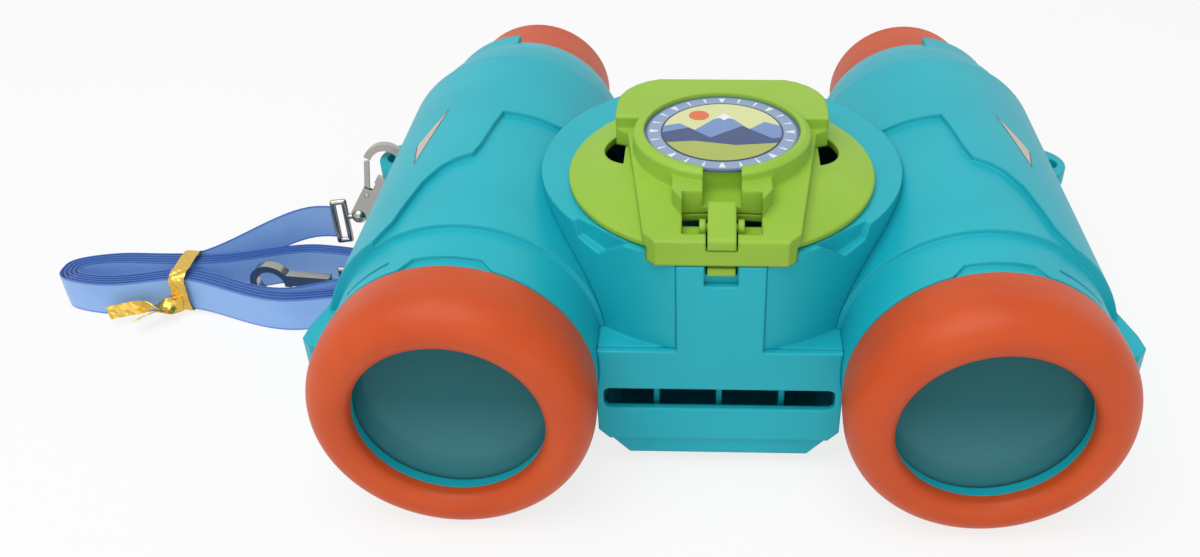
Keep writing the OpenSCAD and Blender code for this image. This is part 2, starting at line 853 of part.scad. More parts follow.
// Filled cone up to the top of the saucer, which the housing sits on
module saucer_fill(lift) {
    depth = 3 * saucer_rise;
    slope = (saucer_r - cone_r) / saucer_rise;
    at(saucer_station)
        translate([0, 0, saucer_edge_z + lift - depth])
            cylinder(h = depth + saucer_rise, r1 = saucer_r + slope * depth, r2 = cone_r);
}

// Space taken by the front skirt of the housing
module skirt_space(gap) {
    at(front_station - saucer_r)
        translate([-lid_front_half - gap, 0, 0])
            cube([2 * (lid_front_half + gap), saucer_r + lid_wall + gap, 4 * drum_z]);
}

// Shallow cone with a vent beside each wall of the housing
module lid_saucer() {
    vent_r = 9;
    vent_station = saucer_station + 4.5;
    color(green)
        difference() {
            at(saucer_station)
                translate([0, 0, lid_bottom])
                    rotate_extrude()
                        polygon([
                            [cone_r - 2, saucer_rise], [cone_r, saucer_rise], [saucer_r - 2, 0], [saucer_r, 0],
                            [saucer_r, saucer_t * 0.7], [saucer_r - 0.6, saucer_t], [cone_r, saucer_t + saucer_rise],
                            [cone_r - 2, saucer_t + saucer_rise]
                        ]);
            skirt_space(seam);
            // Window under the latch
            at(front_station)
                translate([-pocket_half - cheek_t - run_gap, 0, 0])
                    cube([2 * (pocket_half + cheek_t + run_gap), lever_len + run_gap, 2 * drum_z]);
            for (side = [-1, 1])
                at(vent_station)
                    intersection() {
                        translate([side * (lid_mid_half - 3.6), 0, 0])
                            cylinder(h = 2 * drum_z, r = vent_r);
                        translate([side * (lid_mid_half + 0.6 + vent_r), 0, drum_z])
                            cube([2 * vent_r, 4 * vent_r, drum_z], center = true);
                    }
        }
}

// Plan of the housing, drawn smaller by an inset for its hollow
module lid_plan(inset) {
    corner = 0.54 * lid_rear_half;
    chamfer = 2.5;
    rear = lid_rear - inset;
    front = front_station + inset;
    mid = lid_mid_half - inset;
    side = lid_rear_half - inset;
    tip = lid_front_half - inset;
    right = concat(
        [[tip - chamfer, front], [tip, front + chamfer], [mid - 1.6, front_station + 0.45 * lid_len], [mid, wing_y - 2]],
        [[side, wing_y + inset / 2]],
        arc(side - corner + inset, rear - corner + inset, corner - inset, 0, 90, 6)
    );
    polygon(concat(right, [for (i = [len(right) - 1 : -1 : 0]) [-right[i][0], right[i][1]]]));
}

// Block of the housing, with a sloping top and a step up to its rear plateau
module lid_block(inset) {
    edge = 0.6;
    knee_z = ridge_z + 0.7 * (slope_z - ridge_z);
    intersection() {
        at(0)
            linear_extrude(2 * drum_z)
                lid_plan(inset);
        across(2 * lid_rear_half, [
            [0, skirt_z - inset * cut], [lid_rear + cut, skirt_z - inset * cut],
            [lid_rear + cut, lid_rear_z - 2 * edge - inset], [lid_rear - edge, lid_rear_z - inset],
            [wing_y + edge + inset, lid_rear_z - inset], [wing_y + inset, lid_rear_z - edge - inset],
            [wing_y + inset, slope_z - inset], [knee_y, knee_z - inset], [skirt_back + cut, ridge_z + edge / 2 - inset],
            [front_station + edge, ridge_z - inset], [front_station - cut, ridge_z - 2 * edge - inset]
        ]);
    }
}

// Round boss for the badge and the fork in front of it
module lid_boss() {
    bevel = 0.8;
    at(badge_y)
        translate([0, 0, lid_bottom + saucer_rise])
            rotate_extrude()
                polygon([
                    [0, 0], [boss_r + 1, 0], [boss_r + 0.4, boss_z - lid_bottom - saucer_rise - bevel],
                    [boss_r - bevel, boss_z - lid_bottom - saucer_rise], [0, boss_z - lid_bottom - saucer_rise]
                ]);
    at(0)
        translate([0, 0, lid_bottom + saucer_rise])
            linear_extrude(fork_z - lid_bottom - saucer_rise)
                polygon([
                    [-fork_tip_half, fork_front], [fork_tip_half, fork_front], [fork_half, fork_front + 4],
                    [fork_half, fork_front + 9], [fork_half + 5, badge_y - 11], [fork_half + 5, badge_y],
                    [-fork_half - 5, badge_y], [-fork_half - 5, badge_y - 11], [-fork_half, fork_front + 9], [-fork_half, fork_front + 4]
                ]);
}

// Cheeks that carry the latch pin, on both sides of the lever's opening
module latch_cheeks() {
    for (side = [-1, 1])
        at(pivot_y - 3)
            translate([side * (pocket_half + cheek_t / 2) - cheek_t / 2, 0, lid_bottom + saucer_t + 0.2])
                cube([cheek_t, 6, ridge_z - lid_bottom - saucer_t]);
}

// Ears beside the lever, which hold its pin
module latch_ears() {
    ear_r = latch_pin_r + 0.8;
    for (side = [-1, 1])
        at(pivot_y)
            translate([side * (latch_ear_x + latch_ear_t / 2), 0, pivot_z]) {
                rotate([0, 90, 0])
                    cylinder(h = latch_ear_t, r = ear_r, center = true);
                translate([-latch_ear_t / 2, -ear_r, saucer_edge_z - pivot_z])
                    cube([latch_ear_t, 2 * ear_r, pivot_z - saucer_edge_z]);
            }
}

// Floors in front of the dark openings on both sides of the lever
module pocket_floors() {
    floor_t = 1.4;
    inner = lever_half + run_gap;
    for (side = [-1, 1])
        at(front_station + lid_wall / 2)
            translate([side * (inner + pocket_half + cheek_t / 2) / 2, 0, saucer_edge_z - floor_t / 2])
                translate([-(pocket_half + cheek_t / 2 - inner) / 2, 0, 0])
                    cube([pocket_half + cheek_t / 2 - inner, lever_len - lid_wall / 2 - 2.4, floor_t]);
}

// Hollow block and boss, cut to sit on the saucer behind the front skirt
module lid_shell() {
    difference() {
        union() {
            lid_block(0);
            lid_boss();
        }
        lid_block(lid_wall);
        difference() {
            saucer_fill(seam);
            at(front_station - saucer_r)
                translate([-2 * saucer_r, 0, 0])
                    cube([4 * saucer_r, saucer_r + lid_wall - seam, 4 * drum_z]);
        }
    }
}

// Shell of the lid with the badge's seat, the lever's opening and the middle knuckle
module lid_housing() {
    web_t = 2;
    web_start = lid_rear - lid_wall;
    web_z = saucer_edge_z + seam
        + saucer_rise * (saucer_r - web_start + saucer_station) / (saucer_r - cone_r);
    color(green)
        difference() {
            union() {
                difference() {
                    lid_shell();
                    at(badge_y)
                        translate([0, 0, badge_z])
                            cylinder(h = badge_t + badge_sink + cut, r = badge_r + seam);
                    // Finger recess between the prongs of the fork
                    at(lever_back - 1)
                        translate([-fork_gap, 0, ridge_z + 1.5])
                            cube([2 * fork_gap, 8.5, boss_z]);
                    // Opening for the lever and the pockets beside it
                    at(front_station + 2.4)
                        translate([-pocket_half, 0, lid_bottom - cut])
                            cube([2 * pocket_half, lever_len - 2.4 + run_gap, boss_z]);
                    at(0)
                        translate([-lever_half - run_gap, 0, ridge_z - 2.5])
                            cube([2 * (lever_half + run_gap), front_station + lever_len, boss_z]);
                }
                latch_cheeks();
                latch_ears();
                pocket_floors();
                at(hinge_station)
                    translate([0, 0, hinge_z])
                        rotate([0, 90, 0])
                            cylinder(h = 2 * knuckle_half, r = knuckle_r, center = true);
                // Web over the saucer, from the rear wall to the knuckle
                across(knuckle_half, [
                    [web_start, web_z], [saucer_station + saucer_r, saucer_edge_z + seam], [hinge_station, hinge_z],
                    [hinge_station, hinge_z + web_t], [web_start, web_z + web_t]
                ]);
            }
            at(hinge_station)
                translate([0, 0, hinge_z])
                    rotate([0, 90, 0])
                        cylinder(h = 3 * knuckle_half, r = hinge_pin_r + pin_fit, center = true);
            at(pivot_y)
                translate([0, 0, pivot_z])
                    rotate([0, 90, 0])
                        cylinder(h = 2 * (latch_ear_x + latch_ear_t) + cut, r = latch_pin_r + pin_fit / 2, center = true);
        }
}

// Printed disc set into the boss
module lid_badge() {
    color("#5f79a8")
        at(badge_y)
            translate([0, 0, badge_z])
                cylinder(h = badge_t, r = badge_r);
}

module lid_hinge_pin() {
    color(chrome)
        at(hinge_station)
            translate([0, 0, hinge_z])
                rotate([0, 90, 0])
                    cylinder(h = 2 * (knuckle_half + run_gap + ear_len), r = hinge_pin_r, center = true);
}

// Rocking lever with a finger pad behind its pivot and a nose whose toe hangs in the notch
module latch_lever() {
    foot = ridge_z - 2.5 + run_gap;
    pad_z = ridge_z + 3;
    color(green)
        difference() {
            across(lever_half, [
                [front_station - 0.2, foot], [skirt_back - 0.2, foot], [skirt_back + 0.3, foot + 0.4], [stem_front, foot + 0.4],
                [stem_front, toe_z], [toe_front, toe_z - 0.3], [toe_front, nose_z],
                [stem_back, nose_z], [stem_back + 0.5, pivot_z - 2], [lever_back, pad_z - 2.2],
                [lever_back, pad_z], [lever_back - 0.6, pad_z + 0.3], [front_station + 2, ridge_z + 0.9],
                [front_station + 0.4, ridge_z + 0.4], [front_station - 0.2, ridge_z - 0.3]
            ]);
            at(pivot_y)
                translate([0, 0, pivot_z])
                    rotate([0, 90, 0])
                        cylinder(h = 4 * lever_half, r = latch_pin_r + pin_fit, center = true);
        }
}

// Moulded trunnion that the lever rocks on
module latch_pin() {
    color(green)
        at(pivot_y)
            translate([0, 0, pivot_z])
                rotate([0, 90, 0])
                    cylinder(h = 2 * (latch_ear_x + latch_ear_t), r = latch_pin_r, center = true);
}

// Sweep of a closed outline along rings of points, capped at both ends
module skin(rings) {
    n = len(rings[0]);
    last = len(rings) - 1;
    points = [for (ring = rings) each ring];
    walls = [for (i = [0 : last - 1], j = [0 : n - 1])
        let (a = i * n + j, b = i * n + (j + 1) % n)
            each [[a, b, b + n], [a, b + n, a + n]]];
    caps = [for (j = [1 : n - 2]) each [[0, j + 1, j], [last * n, last * n + j, last * n + j + 1]]];
    polyhedron(points, concat(walls, caps), convexity = 10);
}

function unit(v) = v / norm(v);

// Half width of the hank at a place along it, pinched at the tie
function smooth(t) = let (c = max(0, min(1, t))) c * c * (3 - 2 * c);
function hank_half(x) = hank_waist + (x < hank_waist_x
    ? (hank_left - hank_waist) * smooth((hank_waist_x - x) / hank_blend * 1.4)
    : (hank_right - hank_waist) * smooth((x - hank_waist_x) / hank_blend));

hank_end = 360 * ribbon_loops + hank_stop;

// Middle line of the ribbon, as a spiral that winds inwards, by its angle
function hank_point(angle) =
    let (
        peel = end_peel * smooth((angle - hank_end + 40) / 40),
        inset = hank_pitch * ((angle - hank_start) / 360 + hank_start_turns) + peel,
        x = hank_x + (hank_a - inset) * cos(angle),
        swing = sign(sin(angle)) * pow(abs(sin(angle)), hank_round),
        y = hank_y + (hank_half(x) - inset) * swing,
        rise = near_lift * (1 - smooth((angle - hank_start) / 62)) + far_lift * smooth((angle - hank_end + 60) / 50),
        lift = tie_lift * exp(-pow((x - hank_waist_x) / tie_reach, 2))
    )
    [x, y, ribbon_w / 2 + table_gap + max(rise, lift)];

hank_angles = [for (i = [0 : ceil((hank_end - hank_start) * loop_rings / 360)])
    min(hank_end, hank_start + i * 360 / loop_rings)];
hank_line = [for (a = hank_angles) hank_point(a)];

// Level direction across the ribbon at one ring
function across_line(line, i) =
    let (
        d = line[min(i + 1, len(line) - 1)] - line[max(i - 1, 0)],
        flat = unit([d[0], d[1], 0])
    )
    [-flat[1], flat[0], 0];

function ribbon_ring(line, i) =
    let (side = across_line(line, i) * ribbon_t / 2, up = [0, 0, ribbon_w / 2])
    [line[i] + side + up * 0.94, line[i] + up, line[i] - side + up * 0.94,
     line[i] - side - up * 0.94, line[i] - up, line[i] + side - up * 0.94];

// Least gap between neighbouring layers, measured in plan between the middle lines
hank_flat = [for (p = hank_line) [p[0], p[1]]];
function to_segment(p, a, b) =
    let (t = max(0, min(1, (p - a) * (b - a) / ((b - a) * (b - a)))))
    norm(p - a - t * (b - a));
hank_gap = min([for (i = [0 : len(hank_flat) - 1], j = [i + 6 : 1 : len(hank_flat) - 2])
    to_segment(hank_flat[i], hank_flat[j], hank_flat[j + 1])]) - ribbon_t;
ribbon_length = [for (i = 0, sum = 0; i < len(hank_line) - 1; sum = sum + norm(hank_line[i + 1] - hank_line[i]), i = i + 1)
    sum];
echo(least_gap_in_hank = hank_gap, ribbon_length = ribbon_length[len(ribbon_length) - 1]);

module strap_ribbon() {
    color(ribbon_blue)
        skin([for (i = [0 : len(hank_line) - 1]) ribbon_ring(hank_line, i)]);
}

// Foil tie round the waist of the hank, with its two twisted ends
module strap_tie() {
    wide = 2 * (hank_waist + 0.6);
    tall = ribbon_w + 1.3;
    middle = ribbon_w / 2 + table_gap + tie_lift + 0.3;
    tail_len = 20;
    color("#c4af6e")
        translate([hank_waist_x, hank_y, 0]) {
            translate([0, 0, middle])
                difference() {
                    cube([tie_w, wide + 2 * tie_t, tall + 2 * tie_t], center = true);
                    cube([tie_w + cut, wide, tall], center = true);
                }
            for (turn = [14, 36])
                translate([0, -wide / 2 - tie_t / 2, 3 + turn / 12])
                    rotate([0, -4 + turn / 6, 180 + turn])
                        translate([0, 0, -tie_w / 2])
                            cube([tail_len, tie_t, tie_w]);
        }
}

// Outline of a straight bar between two points
function bar_points(a, b, w) =
    let (d = unit(b - a), side = [-d[1], d[0]] * w / 2)
    [a + side, b + side, b - side, a - side];

// Flat snap hook, with its bow at the origin and its shank hanging down to a ball joint
module snap_hook() {
    outer = bow_r + hook_bar;
    root = gate_pivot[1] + 1.6;
    color(chrome)
        difference() {
            rotate([90, 0, 0])
                difference() {
                    linear_extrude(hook_t, center = true)
                        difference() {
                            union() {
                                circle(r = outer);
                                translate([0, -hook_len])
                                    square([hook_bar + 1.4, hook_len - bow_r]);
                                translate([-hook_bar / 2 - 1.4, -hook_len])
                                    square([hook_bar + 2.8, hook_len + root]);
                            }
                            circle(r = bow_r);
                            // Mouth that the gate closes
                            translate([-outer - cut, root])
                                square([outer + cut - 0.4, -root - 0.6]);
                        }
                    translate(gate_pivot)
                        cylinder(h = 2 * hook_t, r = gate_pin_r + seam, center = true);
                    translate([-outer, gate_pivot[1] - 1.8, -gate_slot / 2])
                        cube([outer + 0.9, 1.8 - gate_pivot[1] + root, gate_slot]);
                }
            translate([0, 0, -hook_len])
                sphere(r = ball_r + seam);
        }
}

module hook_gate() {
    color(chrome)
        rotate([90, 0, 0])
            difference() {
                union() {
                    translate(gate_pivot)
                        cylinder(h = gate_t, r = 1.3, center = true);
                    linear_extrude(gate_t, center = true)
                        polygon(bar_points(gate_pivot, gate_tip, 1.5));
                }
                translate(gate_pivot)
                    cylinder(h = 2 * gate_t, r = gate_pin_r + pin_fit, center = true);
            }
}

module hook_gate_pin() {
    color(chrome)
        rotate([90, 0, 0])
            translate(gate_pivot)
                cylinder(h = hook_t, r = gate_pin_r, center = true);
}

module at_near() {
    translate(near_bow)
        rotate(near_turn)
            children();
}

module at_far() {
    translate(far_bow)
        rotate(far_turn)
            children();
}

// Turns a point about X, then Y, then Z
function turned_point(p, turn) =
    let (
        a = [p[0], p[1] * cos(turn[0]) - p[2] * sin(turn[0]), p[1] * sin(turn[0]) + p[2] * cos(turn[0])],
        b = [a[0] * cos(turn[1]) + a[2] * sin(turn[1]), a[1], -a[0] * sin(turn[1]) + a[2] * cos(turn[1])]
    )
    [b[0] * cos(turn[2]) - b[1] * sin(turn[2]), b[0] * sin(turn[2]) + b[1] * cos(turn[2]), b[2]];

// Upright ring between the end of the ribbon and the ball joint of a hook
module strap_ring(line_end, line_next, ball) {
    flat_way = unit([line_end[0] - line_next[0], line_end[1] - line_next[1], 0]);
    bar = line_end + flat_way * (ring_wire_r + 2 * seam);
    way = unit([ball[0] - bar[0], ball[1] - bar[1], 0]);
    far_bar = [ball[0], ball[1], line_end[2]] - way * ball_stem;
    length = norm(far_bar - bar);
    turn = atan2(way[1], way[0]);
    rise = ribbon_w / 2 + 0.4 + ring_wire_r;
    color(chrome) {
        translate(ball) {
            sphere(r = ball_r);
            rotate([0, 0, turn])
                rotate([0, -90, 0])
                    cylinder(h = ball_stem, r = ring_wire_r);
        }
        translate(bar)
            rotate([0, 0, turn]) {
                for (x = [0, length])
                    translate([x, 0, -rise])
                        cylinder(h = 2 * rise, r = ring_wire_r);
                for (z = [-rise, rise])
                    translate([0, 0, z])
                        rotate([0, 90, 0])
                            cylinder(h = length, r = ring_wire_r);
                for (x = [0, length], z = [-rise, rise])
                    translate([x, 0, z])
                        sphere(r = ring_wire_r);
            }
    }
}

module near_strap_ring() {
    strap_ring(hank_line[0], hank_line[1], near_bow + turned_point([0, 0, -hook_len], near_turn));
}

module far_strap_ring() {
    last = len(hank_line) - 1;
    strap_ring(hank_line[last], hank_line[last - 1], far_bow + turned_point([0, 0, -hook_len], far_turn));
}

barrel_half(-1, true);  // left_barrel_top
barrel_half(1, true);  // right_barrel_top
barrel_half(-1, false);  // left_barrel_bottom
barrel_half(1, false);  // right_barrel_bottom
objective_ring(-1);  // left_objective_ring
objective_ring(1);  // right_objective_ring
objective_lens(-1);  // left_objective_lens
objective_lens(1);  // right_objective_lens
lens_retainer(-1);  // left_lens_retainer
lens_retainer(1);  // right_lens_retainer
eyecup(-1);  // left_eyecup
eyecup(1);  // right_eyecup
eye_lens(-1);  // left_eye_lens
eye_lens(1);  // right_eye_lens
front_plate();
drum();
bottom_tray();
barrel_screws();
tray_screws();
lid_saucer();
lid_housing();
lid_badge();
lid_hinge_pin();
latch_lever();
latch_pin();
strap_ribbon();
strap_tie();
at_near() snap_hook();  // near_hook
at_near() hook_gate();  // near_gate
at_near() hook_gate_pin();  // near_gate_pin
near_strap_ring();
at_far() snap_hook();  // far_hook
at_far() hook_gate();  // far_gate
at_far() hook_gate_pin();  // far_gate_pin
far_strap_ring();
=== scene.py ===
# %% [markdown]
# # Toy binoculars
# A lesson in dressing a CAD model in Blender. The imported CAD part is the fixed frame: every piece here
# sits where the CAD says and rides on one of its bodies. We load it first.

# %% Load the frame
import math
import bmesh
import bpy
from mathutils import Matrix, Vector, noise


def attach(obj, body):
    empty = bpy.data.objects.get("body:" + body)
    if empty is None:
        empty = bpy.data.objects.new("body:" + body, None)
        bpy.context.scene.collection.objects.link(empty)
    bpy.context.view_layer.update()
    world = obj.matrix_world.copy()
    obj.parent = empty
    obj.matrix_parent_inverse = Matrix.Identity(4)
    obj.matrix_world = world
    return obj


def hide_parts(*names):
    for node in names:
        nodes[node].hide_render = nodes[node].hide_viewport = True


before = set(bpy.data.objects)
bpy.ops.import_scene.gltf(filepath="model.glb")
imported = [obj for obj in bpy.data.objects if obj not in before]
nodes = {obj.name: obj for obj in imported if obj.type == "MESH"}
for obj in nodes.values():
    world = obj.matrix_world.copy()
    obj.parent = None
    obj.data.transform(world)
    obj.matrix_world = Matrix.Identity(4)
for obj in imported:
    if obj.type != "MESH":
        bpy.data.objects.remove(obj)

MM = 0.001
SIDES = (("left", -1), ("right", 1))
scene = bpy.context.scene
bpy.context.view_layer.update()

# %% [markdown]
# ## The camera
# The photograph was taken from in front and above, at about 35 degrees. A camera can be matched by eye
# or solved. Here it was solved by least squares from circles on the toy, whose places were solved along
# with it: the lens openings, the outlines of the rings, the badge, and round edges of the barrels and
# eyecups. The spacing of the barrels was given, and sets the scale. The lens axis doesn't cross the
# middle of the picture, and the small sideways shift takes care of that.

# %% Make the camera
PHOTO_WIDTH = 1200                      # pixels, the unit of the next two
FOCAL_PX, AXIS_PX = 1130.65, 678.3      # focal length, and where the lens axis crosses the picture
SENSOR_MM = 36
PITCH, YAW, ROLL = 0.6196, 0.0339, -0.0082
EYE_MM = (-2.4, -246.0, 187.7)

heading = Matrix.Rotation(YAW, 3, "Z")
forward = heading @ Vector((0, math.cos(PITCH), -math.sin(PITCH)))
right = heading @ Vector((1, 0, 0))
up = right.cross(forward)
turned_right = math.cos(ROLL) * right + math.sin(ROLL) * up
turned_up = turned_right.cross(forward)
lens_data = bpy.data.cameras.new("camera")
lens_data.sensor_width = SENSOR_MM
lens_data.lens = SENSOR_MM * FOCAL_PX / PHOTO_WIDTH
lens_data.shift_x = (PHOTO_WIDTH / 2 - AXIS_PX) / PHOTO_WIDTH
lens_data.clip_start, lens_data.clip_end = 0.01, 20
camera = bpy.data.objects.new("camera", lens_data)
scene.collection.objects.link(camera)
axes = Matrix((turned_right, turned_up, -forward)).transposed()
camera.matrix_world = Matrix.Translation(Vector(EYE_MM) * MM) @ axes.to_4x4()
scene.camera = camera
print("camera: lens", round(lens_data.lens, 2), "mm")

# %% [markdown]
# ## Colour and nodes
# Colours are picked as sRGB hex values, because that is how we see them on a screen. Shaders work in
# linear light, so one function converts them. A second one adds a node and fills its sockets: a value
# that is a socket becomes a link, and anything else becomes the socket's own value.

# %% Colours, nodes and materials
def linear(code):
    """Linear RGBA of an sRGB hex colour."""
    parts = [int(code[i:i + 2], 16) / 255 for i in (1, 3, 5)]
    return [c / 12.92 if c <= 0.04045 else ((c + 0.055) / 1.055) ** 2.4 for c in parts] + [1.0]


def feed(tree, node, inputs):
    """Fills a node's sockets. Inputs pairs a socket's name or number with a value or a link."""
    for name, value in dict(inputs).items():
        if isinstance(value, bpy.types.NodeSocket):
            tree.links.new(value, node.inputs[name])
        else:
            node.inputs[name].default_value = value


def add(tree, kind, inputs=(), **settings):
    """Adds a node with its settings and fills its sockets."""
    node = tree.nodes.new(kind)
    for name, value in settings.items():
        setattr(node, name, value)
    feed(tree, node, inputs)
    return node


def new_material(name):
    """An empty material with its tree, its shader and object coordinates in metres."""
    material = bpy.data.materials.new(name)
    material.use_nodes = True
    tree = material.node_tree
    shader = tree.nodes["Principled BSDF"]
    place = add(tree, "ShaderNodeTexCoord").outputs["Object"]
    return material, tree, shader, place


print("white is", linear("#ffffff"))

# %% [markdown]
# The materials below are built from the same few steps: noise with spots of a real size, a value spread
# over a range, two colours mixed, a shallow relief, and a little arithmetic. Each has a name here.

# %% The steps that the materials share
def spots(tree, place, size_mm, detail=2.0):
    """Noise from 0 to 1 with spots of about size_mm."""
    inputs = {"Vector": place, "Scale": 1 / (size_mm * MM), "Detail": detail}
    return add(tree, "ShaderNodeTexNoise", inputs).outputs["Fac"]


def spread(tree, value, low, high):
    """A value from 0 to 1, spread over low to high."""
    inputs = {"Value": value, "To Min": low, "To Max": high}
    return add(tree, "ShaderNodeMapRange", inputs).outputs["Result"]


def share_between(tree, value, low, high):
    """How far a value has come from low to high, from 0 to 1."""
    inputs = {"Value": value, "From Min": low, "From Max": high}
    return add(tree, "ShaderNodeMapRange", inputs).outputs["Result"]


def two_tone(tree, value, shade, colour):
    """A soft change between two close colours, for noise that seldom leaves 0.3 to 0.7."""
    ramp = add(tree, "ShaderNodeValToRGB", {"Fac": value})
    for stop, position, code in zip(ramp.color_ramp.elements, (0.3, 0.7), (shade, colour)):
        stop.position, stop.color = position, linear(code)
    return ramp.outputs["Color"]


def mixed(tree, share, first, second):
    """The first colour where the share is 0 and the second where it is 1."""
    inputs = {"Factor": share, "A": linear(first), "B": linear(second)}
    return add(tree, "ShaderNodeMix", inputs, data_type="RGBA").outputs["Result"]


def relief(tree, height, strength, depth_mm, **more):
    """Normals of a shallow relief."""
    inputs = {"Height": height, "Strength": strength, "Distance": depth_mm * MM, **more}
    return add(tree, "ShaderNodeBump", inputs).outputs["Normal"]


def reckon(tree, operation, *values):
    """One step of arithmetic with sockets and numbers."""
    return add(tree, "ShaderNodeMath", dict(enumerate(values)), operation=operation).outputs[0]


print("steps ready")

# %% [markdown]
# ## Moulded ABS
# The barrels, the bridge and the lid are injection-moulded ABS, coloured right through. The steel mould
# is spark eroded, so the skin has a fine grain of about 0.15 mm that spreads highlights into a soft
# sheen. That grain is too fine for the render, so it is drawn at 0.5 mm. Flow of the melt leaves the
# colour very slightly uneven over some 30 mm. Noise does both, in object coordinates, so no unwrapping
# is needed. A moulded edge is also rounded, by almost a millimetre. The meshes carry only a part of
# that, so a bevel node bends the shading near each edge.

# %% Moulded ABS
ABS_GRAIN_MM, ABS_FLOW_MM, ABS_EDGE_MM = 0.5, 30, 0.8


def moulded_abs(name, colour, shade, rough=0.46):
    """Satin moulded plastic: the eye gets broad soft highlights and a colour that is almost even."""
    material, tree, shader, place = new_material(name)
    flow = spots(tree, place, ABS_FLOW_MM)
    grain = spots(tree, place, ABS_GRAIN_MM, detail=1.0)
    soft_edge = add(tree, "ShaderNodeBevel", {"Radius": ABS_EDGE_MM * MM}, samples=8).outputs["Normal"]
    feed(tree, shader, {"Base Color": two_tone(tree, flow, shade, colour),
                        "Roughness": spread(tree, grain, rough - 0.05, rough + 0.05),
                        "Normal": relief(tree, grain, 0.05, 0.05, Normal=soft_edge),
                        "IOR": 1.54, "Specular IOR Level": 0.3})
    return material


turquoise_abs = moulded_abs("turquoise_moulded_abs", "#1cb4c3", "#14adbd")
green_abs = moulded_abs("green_moulded_abs", "#99c33e", "#91bc38")
print("made", turquoise_abs.name, "and", green_abs.name)

# %% [markdown]
# ## Soft vinyl
# The orange rings and eyecups are soft PVC, cast in a polished mould: smooth and a little waxy, with a
# low broad highlight. Subsurface light could give the wax, but at this size it only blurs the colour, so
# a plain surface with a faint cloud of colour does the same and renders faster.

# %% Soft vinyl
VINYL_CLOUD_MM, VINYL_SKIN_MM = 18, 1.2


def soft_vinyl(name, colour, shade):
    """Waxy vinyl: an even deep colour with a weak, wide highlight and faint mould marks."""
    material, tree, shader, place = new_material(name)
    cloud = spots(tree, place, VINYL_CLOUD_MM, detail=3.0)
    skin = spots(tree, place, VINYL_SKIN_MM)
    feed(tree, shader, {"Base Color": two_tone(tree, cloud, shade, colour),
                        "Roughness": spread(tree, skin, 0.40, 0.52),
                        "Normal": relief(tree, skin, 0.04, 0.1),
                        "IOR": 1.5, "Specular IOR Level": 0.3})
    return material


orange_vinyl = soft_vinyl("orange_soft_vinyl", "#d05320", "#c84b1b")
print("made", orange_vinyl.name)

# %% [markdown]
# ## Tinted acrylic
# The lenses are thin tinted acrylic. Real glass shading would show the inside of the barrel, which is
# nearly closed and dark. So the lens gets the dark blue-green that the eye sees there, with a clear gloss
# on top. Light falls in from above and reaches the lower wall of the tube, so the lower half is a little
# paler.

# %% Tinted acrylic
PALE_BELOW_MM, DARK_ABOVE_MM = 9, 33    # heights over the floor
ACRYLIC_HAZE_MM = 9


def tinted_acrylic(name, upper, lower):
    """Tinted cast acrylic: dark and glossy, with a hint of the lit tube behind its lower half."""
    material, tree, shader, place = new_material(name)
    height = add(tree, "ShaderNodeSeparateXYZ", {"Vector": place}).outputs["Z"]
    share = share_between(tree, height, PALE_BELOW_MM * MM, DARK_ABOVE_MM * MM)
    haze = spots(tree, place, ACRYLIC_HAZE_MM)
    feed(tree, shader, {"Base Color": mixed(tree, share, lower, upper),
                        "Roughness": spread(tree, haze, 0.10, 0.16),
                        "IOR": 1.49, "Specular IOR Level": 0.12})
    return material


objective_acrylic = tinted_acrylic("objective_tinted_acrylic", "#24656b", "#458b93")
print("made", objective_acrylic.name)

# %% [markdown]
# ## Plated metal
# The hooks are zinc castings with bright nickel, and the screws and the metal pins are zinc-plated
# steel. Both are mirrors, softened by polishing lines of some 0.1 mm. Those are too fine to show, so they
# are drawn at about half a millimetre. A metal takes its colour from its base colour and keeps the
# default IOR.

# %% Nickel plate and steel
def plated_metal(name, colour, rough, line_mm):
    """Bright plated metal: mirror-like, softened along fine polishing lines."""
    material, tree, shader, place = new_material(name)
    squeezed = add(tree, "ShaderNodeMapping", {"Vector": place, "Scale": (1, 1, 8)}).outputs["Vector"]
    lines = spots(tree, squeezed, line_mm)
    feed(tree, shader, {"Base Color": linear(colour), "Metallic": 1.0,
                        "Roughness": spread(tree, lines, rough - 0.05, rough + 0.08)})
    return material


bright_nickel = plated_metal("bright_nickel_plate", "#a3a19c", 0.16, 0.6)
zinc_steel = plated_metal("zinc_plated_steel", "#b4b8bb", 0.3, 0.4)
print("made", bright_nickel.name, "and", zinc_steel.name)

# %% [markdown]
# ## The ribbon
# The neck ribbon is a 10 mm satin ribbon, wound into a flat hank and held at its waist by a foil tie. It
# could be draped by simulation, but a hank is a plain spiral, and the CAD gives that spiral as a
# formula. We repeat it here with finer steps, and give each layer its own small lean, because real
# layers never stand quite upright.

# %% The line of the ribbon
RIBBON_W, RIBBON_T = 10.0, 0.34
HANK_START, HANK_STOP = 54.0, 4 * 360 + 338.0           # winding angles of the two ends, in degrees
HANK_STEP = 3
HANK_X, HANK_Y, HANK_HALF_LENGTH = -135, 4.5, 46
WAIST_X = -146.0
WAIST_HALF, SMALL_HALF, LARGE_HALF = 6.4, 9.6, 15.2     # half widths at the waist and of the two loops
LOOP_RUN = 34                                           # the large loop opens from the waist over this
LAYER_STEP = 1.15                                       # each layer lies this far inside the last
ROUNDNESS = 0.62                                        # 1 would make the ends of the hank elliptic
OUTER_RISE, INNER_RISE, WAIST_LIFT = 12.5, 2, 1.1       # how far the two ends and the waist are raised


def ease(t):
    """A smooth step from 0 to 1."""
    t = min(1.0, max(0.0, t))
    return t * t * (3 - 2 * t)


